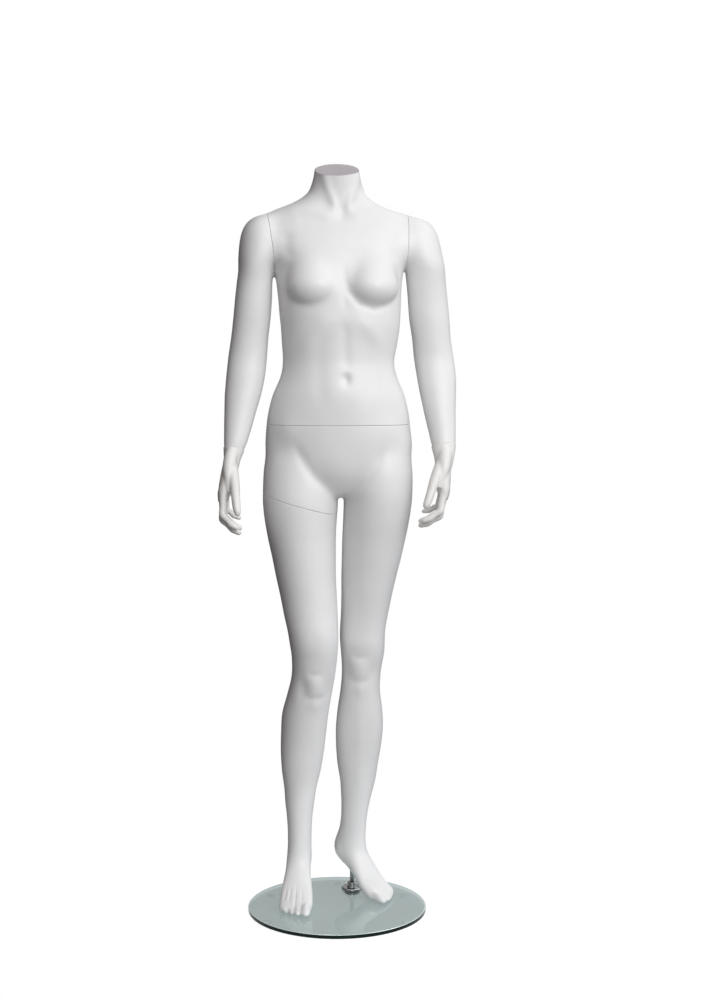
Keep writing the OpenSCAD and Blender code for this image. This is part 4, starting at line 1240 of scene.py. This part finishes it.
def put(n, **values):
    """Sets inputs of a node, with _ for a space in a name, or else its settings."""
    for key, value in values.items():
        socket = key.replace("_", " ")
        if socket in n.inputs.keys():
            n.inputs[socket].default_value = value
        else:
            setattr(n, key, value)
    return n


def node(nt, kind, **values):
    return put(nt.nodes.new(kind), **values)


def grey(v):
    return (v, v, v)


def ramp(nt, source, stops):
    """Colour by source; stops are (place, colour)."""
    n = nt.nodes.new("ShaderNodeValToRGB")
    while len(n.color_ramp.elements) < len(stops):
        n.color_ramp.elements.new(0.5)
    for e, (at, colour) in zip(n.color_ramp.elements, stops, strict=True):
        e.position = at
        e.color = (*colour, 1)
    nt.links.new(source, n.inputs["Fac"])
    return n.outputs["Color"]


def noise(nt, scale, detail, rough=0.5, stretch=(1, 1, 1)):
    where = node(nt, "ShaderNodeTexCoord")
    place = node(nt, "ShaderNodeMapping", Scale=stretch)
    n = node(nt, "ShaderNodeTexNoise", Scale=scale, Detail=detail, Roughness=rough)
    nt.links.new(where.outputs["Object"], place.inputs["Vector"])
    nt.links.new(place.outputs["Vector"], n.inputs["Vector"])
    return n.outputs["Fac"]


def bump(nt, source, strength, distance, under=None):
    n = node(nt, "ShaderNodeBump", Strength=strength, Distance=distance)
    nt.links.new(source, n.inputs["Height"])
    if under:
        nt.links.new(under, n.inputs["Normal"])
    return n.outputs["Normal"]


def tone(nt, shader, source, stops):
    """Base colour by source."""
    nt.links.new(ramp(nt, source, stops), shader.inputs["Base Color"])


def sheen_range(nt, shader, source, low, high):
    """Roughness between two values, by source."""
    n = node(nt, "ShaderNodeMapRange", To_Min=low, To_Max=high)
    nt.links.new(source, n.inputs["Value"])
    nt.links.new(n.outputs["Result"], shader.inputs["Roughness"])


def relief(nt, shader, source, strength, distance, under=None):
    nt.links.new(bump(nt, source, strength, distance, under), shader.inputs["Normal"])


def mixed(nt, share, first, second):
    """Mix of two shaders; share is a number or a socket."""
    mix = node(nt, "ShaderNodeMixShader")
    if isinstance(share, float):
        mix.inputs["Fac"].default_value = share
    else:
        nt.links.new(share, mix.inputs["Fac"])
    nt.links.new(first, mix.inputs[1])
    nt.links.new(second, mix.inputs[2])
    return mix.outputs["Shader"]


def multiplied(nt, share, first, second):
    mix = node(nt, "ShaderNodeMix", data_type="RGBA", blend_type="MULTIPLY")
    mix.inputs["Factor"].default_value = share
    nt.links.new(first, mix.inputs["A"])
    nt.links.new(second, mix.inputs["B"])
    return mix.outputs["Result"]


def finished_with(nt, shader):
    nt.links.new(shader, nt.nodes["Material Output"].inputs["Surface"])


def lacquer(name, low, high, rough, coat):
    """Sprayed satin lacquer: faint mottling, fine grain, soft orange peel."""
    m, nt, shader = material(name)
    tone(nt, shader, noise(nt, 9, 4), [(0.35, low), (0.65, high)])
    sheen_range(nt, shader, noise(nt, 60, 3), rough - 0.05, rough + 0.06)
    peel = bump(nt, noise(nt, 260, 2), 0.12, 0.0004)
    relief(nt, shader, noise(nt, 900, 2), 0.10, 0.0001, peel)
    put(shader, Coat_Weight=coat, Coat_Roughness=0.3, Specular_IOR_Level=0.45)
    return m


def metal(name, colour, rough, grain, stretch=(1, 1, 1)):
    m, nt, shader = material(name)
    put(shader, Metallic=1.0)
    dark = tuple(c * 0.86 for c in colour)
    tone(nt, shader, noise(nt, 40, 3), [(0.3, dark), (0.7, colour)])
    lines = noise(nt, grain, 2, 0.5, stretch)
    sheen_range(nt, shader, lines, rough * 0.7, rough * 1.5)
    relief(nt, shader, lines, 0.2, 0.00003)
    return m


def plastic(name, low, high, rough, grain, depth):
    m, nt, shader = material(name)
    tone(nt, shader, noise(nt, 25, 4), [(0.35, low), (0.65, high)])
    texture = noise(nt, grain, 3)
    sheen_range(nt, shader, texture, rough - 0.08, rough + 0.08)
    relief(nt, shader, texture, 0.35, depth)
    return m


def clear_pad():
    """Clear soft pad: mostly see-through, with a satin skin."""
    m, nt, shader = material("clear_bumper")
    tone(nt, shader, noise(nt, 40, 3), [(0.35, (0.6, 0.64, 0.64)), (0.7, (0.7, 0.74, 0.74))])
    sheen_range(nt, shader, noise(nt, 300, 2), 0.3, 0.45)
    clear = node(nt, "ShaderNodeBsdfTransparent", Color=(0.95, 0.97, 0.97, 1))
    finished_with(nt, mixed(nt, 0.2, clear.outputs["BSDF"], shader.outputs["BSDF"]))
    return m


def plywood():
    m, nt, shader = material("plywood")
    grain = noise(nt, 30, 6, 0.6, (0.4, 6, 0.4))
    wood = ramp(nt, grain, [(0.25, (0.34, 0.2, 0.1)), (0.5, (0.55, 0.37, 0.2)), (0.75, (0.66, 0.48, 0.29))])
    where = node(nt, "ShaderNodeTexCoord")
    plies = node(nt, "ShaderNodeTexWave", bands_direction="Z", Scale=105, Distortion=0.6)
    nt.links.new(where.outputs["Object"], plies.inputs["Vector"])
    shade = ramp(nt, plies.outputs["Fac"], [(0.35, grey(0.72)), (0.6, grey(1))])
    nt.links.new(multiplied(nt, 0.5, wood, shade), shader.inputs["Base Color"])
    sheen_range(nt, shader, grain, 0.55, 0.8)
    relief(nt, shader, grain, 0.4, 0.0003)
    return m


def tinted_clear(nt, low, high):
    """See-through with a tint that varies a little over the sheet."""
    through = node(nt, "ShaderNodeBsdfTransparent")
    nt.links.new(ramp(nt, noise(nt, 3, 2), [(0.3, low), (0.7, high)]), through.inputs["Color"])
    return through.outputs["BSDF"]


def sheet_glass(name, mirrored):
    """Tinted sheet: clear with a thin haze; the top face also mirrors, more towards grazing."""
    m, nt, shader = material(name)
    nt.nodes.remove(shader)
    through = tinted_clear(nt, (0.69, 0.735, 0.735), (0.70, 0.75, 0.745))
    haze = node(nt, "ShaderNodeBsdfDiffuse", Roughness=0.2, Color=(0.4, 0.45, 0.45, 1))
    sheet = mixed(nt, 0.25, through, haze.outputs["BSDF"])
    if mirrored:
        mirror = node(nt, "ShaderNodeBsdfGlossy", Roughness=0.045, Color=(0.93, 1.0, 0.99, 1))
        gloss = node(nt, "ShaderNodeFresnel", IOR=1.52)
        nt.links.new(bump(nt, noise(nt, 14, 1), 0.03, 0.002), gloss.inputs["Normal"])
        sheet = mixed(nt, gloss.outputs["Fac"], sheet, mirror.outputs["BSDF"])
    finished_with(nt, sheet)
    return m


def painted_dark_glass_edge():
    """Ground edge: painted near-black from outside as the shade that tinted glass shows edge-on; clear from inside
    the glass.
    """
    m, nt, shader = material("painted_dark_glass_edge")
    # Painted shade: the near-black colour stands in for the darkness of tinted glass seen edge-on.
    tone(nt, shader, noise(nt, 22, 3), [(0.35, (0.001, 0.005, 0.005)), (0.7, (0.002, 0.012, 0.011))])
    sheen_range(nt, shader, noise(nt, 300, 2), 0.12, 0.22)
    put(shader, Specular_IOR_Level=0.12)
    clear = tinted_clear(nt, (0.72, 0.775, 0.775), (0.735, 0.79, 0.785))
    inside = node(nt, "ShaderNodeNewGeometry").outputs["Backfacing"]
    finished_with(nt, mixed(nt, inside, shader.outputs["BSDF"], clear))
    return m


def glass_bevel():
    m, nt, shader = material("glass_bevel")
    # Painted highlight: an opaque pale colour stands in for the bright line of light along the top bevel; the coat
    # adds real gloss on top.
    tone(nt, shader, noise(nt, 18, 2), [(0.35, (0.6, 0.72, 0.72)), (0.7, (0.72, 0.82, 0.82))])
    sheen_range(nt, shader, noise(nt, 200, 2), 0.08, 0.16)
    put(shader, Coat_Weight=0.5)
    return m


FINISH = {
    "body_white": lacquer("satin_white", (0.80, 0.795, 0.80), (0.84, 0.835, 0.84), 0.42, 0.12),
    "hand_white": lacquer("cream_white", (0.81, 0.795, 0.78), (0.85, 0.835, 0.82), 0.46, 0.08),
    "neck_face": lacquer("neck_grey", (0.40, 0.365, 0.395), (0.45, 0.415, 0.44), 0.62, 0.0),
    "bumper": clear_pad(),
    "gasket": plastic("gasket_rubber", grey(0.012), grey(0.025), 0.8, 500, 0.0002),
    "nylon": plastic("nylon", (0.62, 0.6, 0.54), (0.7, 0.68, 0.62), 0.42, 300, 0.0001),
    "chrome": metal("chrome", grey(0.45), 0.1, 500),
    "steel": metal("zinc_steel", (0.6, 0.6, 0.58), 0.32, 260, (1, 1, 6)),
    "plywood": plywood(),
}
# In the order of the numbers that glass_disc() gives to its bands.
top_glass = sheet_glass("tinted_glass", True)
for finish in (top_glass, painted_dark_glass_edge(), glass_bevel(), sheet_glass("glass_underside", False)):
    glass.data.materials.append(finish)

node_slot = {entry["node"]: entry["material_slot"] for entry in frame["record"]["subparts"]}
for n, o in frame["nodes"].items():
    o.data.materials.clear()
    o.data.materials.append(FINISH.get(node_slot[n], top_glass))
for o in [*shells.values(), *hands.values(), neck_top, flange, rod_piece, screw]:
    o.data.materials.append(FINISH[o["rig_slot"]])


# ---- Floor, light and camera ----
# A small glowing disc keeps the floor white and gives the glass its pale ground.
floor_mesh = bpy.data.meshes.new("floor")
disc = [(0.32 * math.cos(w), 0.32 * math.sin(w), 0) for w in around(96)]
floor_mesh.from_pydata(disc, [], [tuple(range(96))])
floor = new_object("floor", floor_mesh)
floor_white, _, shader = material("floor_white")
put(shader, Base_Color=(*grey(0.3), 1), Roughness=0.8, Specular_IOR_Level=0.1)
put(shader, Emission_Color=(1, 1, 1, 1), Emission_Strength=0.85)
floor_mesh.materials.append(floor_white)

# The camera sees a white backdrop; the light comes from a studio that is brighter on some sides.
world = bpy.data.worlds.new("studio")
bpy.context.scene.world = world
world.use_nodes = True
wt = world.node_tree
split = node(wt, "ShaderNodeSeparateXYZ")
wt.links.new(node(wt, "ShaderNodeTexCoord").outputs["Generated"], split.inputs["Vector"])


def across(axis, stops):
    """Brightness of the studio from one end of an axis to the other."""
    spread = node(wt, "ShaderNodeMapRange", From_Min=-1, From_Max=1)
    wt.links.new(split.outputs[axis], spread.inputs["Value"])
    return ramp(wt, spread.outputs["Result"], stops)


dark_side = [(0, (0.085, 0.075, 0.07)), (0.3, (0.14, 0.13, 0.125))]
bright_side = [(0.47, grey(0.8)), (0.62, grey(1)), (1, (0.63, 0.66, 0.68))]
heights = [(0, grey(0.1)), (0.45, grey(0.22)), (0.6, grey(0.9)), (0.8, grey(0.9)), (1, grey(0.5))]
depths = [(0, grey(1)), (0.5, grey(0.9)), (0.8, grey(0.4)), (1, grey(0.35))]
light = multiplied(wt, 1, across("X", dark_side + bright_side), across("Z", heights))
light = multiplied(wt, 1, light, across("Y", depths))
studio = put(wt.nodes["Background"], Strength=1.7)
wt.links.new(light, studio.inputs["Color"])
wall = node(wt, "ShaderNodeBackground", Strength=1.0, Color=(1, 1, 1, 1))
seen_by_camera = node(wt, "ShaderNodeLightPath").outputs["Is Camera Ray"]
backdrop = mixed(wt, seen_by_camera, studio.outputs["Background"], wall.outputs["Background"])
wt.links.new(backdrop, wt.nodes["World Output"].inputs["Surface"])


def area(name, place, aim_height, size, power, colour=(1, 1, 1)):
    """Square soft light aimed at the figure's middle line."""
    data = bpy.data.lights.new(name, "AREA")
    data.shape = "RECTANGLE"
    data.size = size
    data.size_y = size
    data.energy = power
    data.color = colour
    o = new_object(name, data)
    o.location = place
    o.rotation_euler = (Vector((0, 0, aim_height)) - Vector(place)).to_track_quat("-Z", "Y").to_euler()


area("key", (1.4, -2.0, 1.95), 1.1, 1.2, 17, (1.0, 0.99, 0.98))
area("front", (0.4, -2.2, 2.1), 1.1, 1.2, 9)
area("top", (0.2, 0.8, 3.2), 1.2, 2.0, 1.5)
area("back", (0.3, 3.2, 2.8), 1.0, 1.2, 34)

camera_data = bpy.data.cameras.new("camera")
camera_data.sensor_fit = "VERTICAL"
camera_data.sensor_height = 36
camera_data.lens = 58.5
camera_data.clip_end = 60
camera_data.dof.use_dof = False
camera = new_object("camera", camera_data)
camera.location = (0.034, -3.4, 1.168)
camera.rotation_euler = (math.radians(90 - 4.82), 0, 0)
bpy.context.scene.camera = camera
bpy.context.scene.view_settings.view_transform = "Standard"
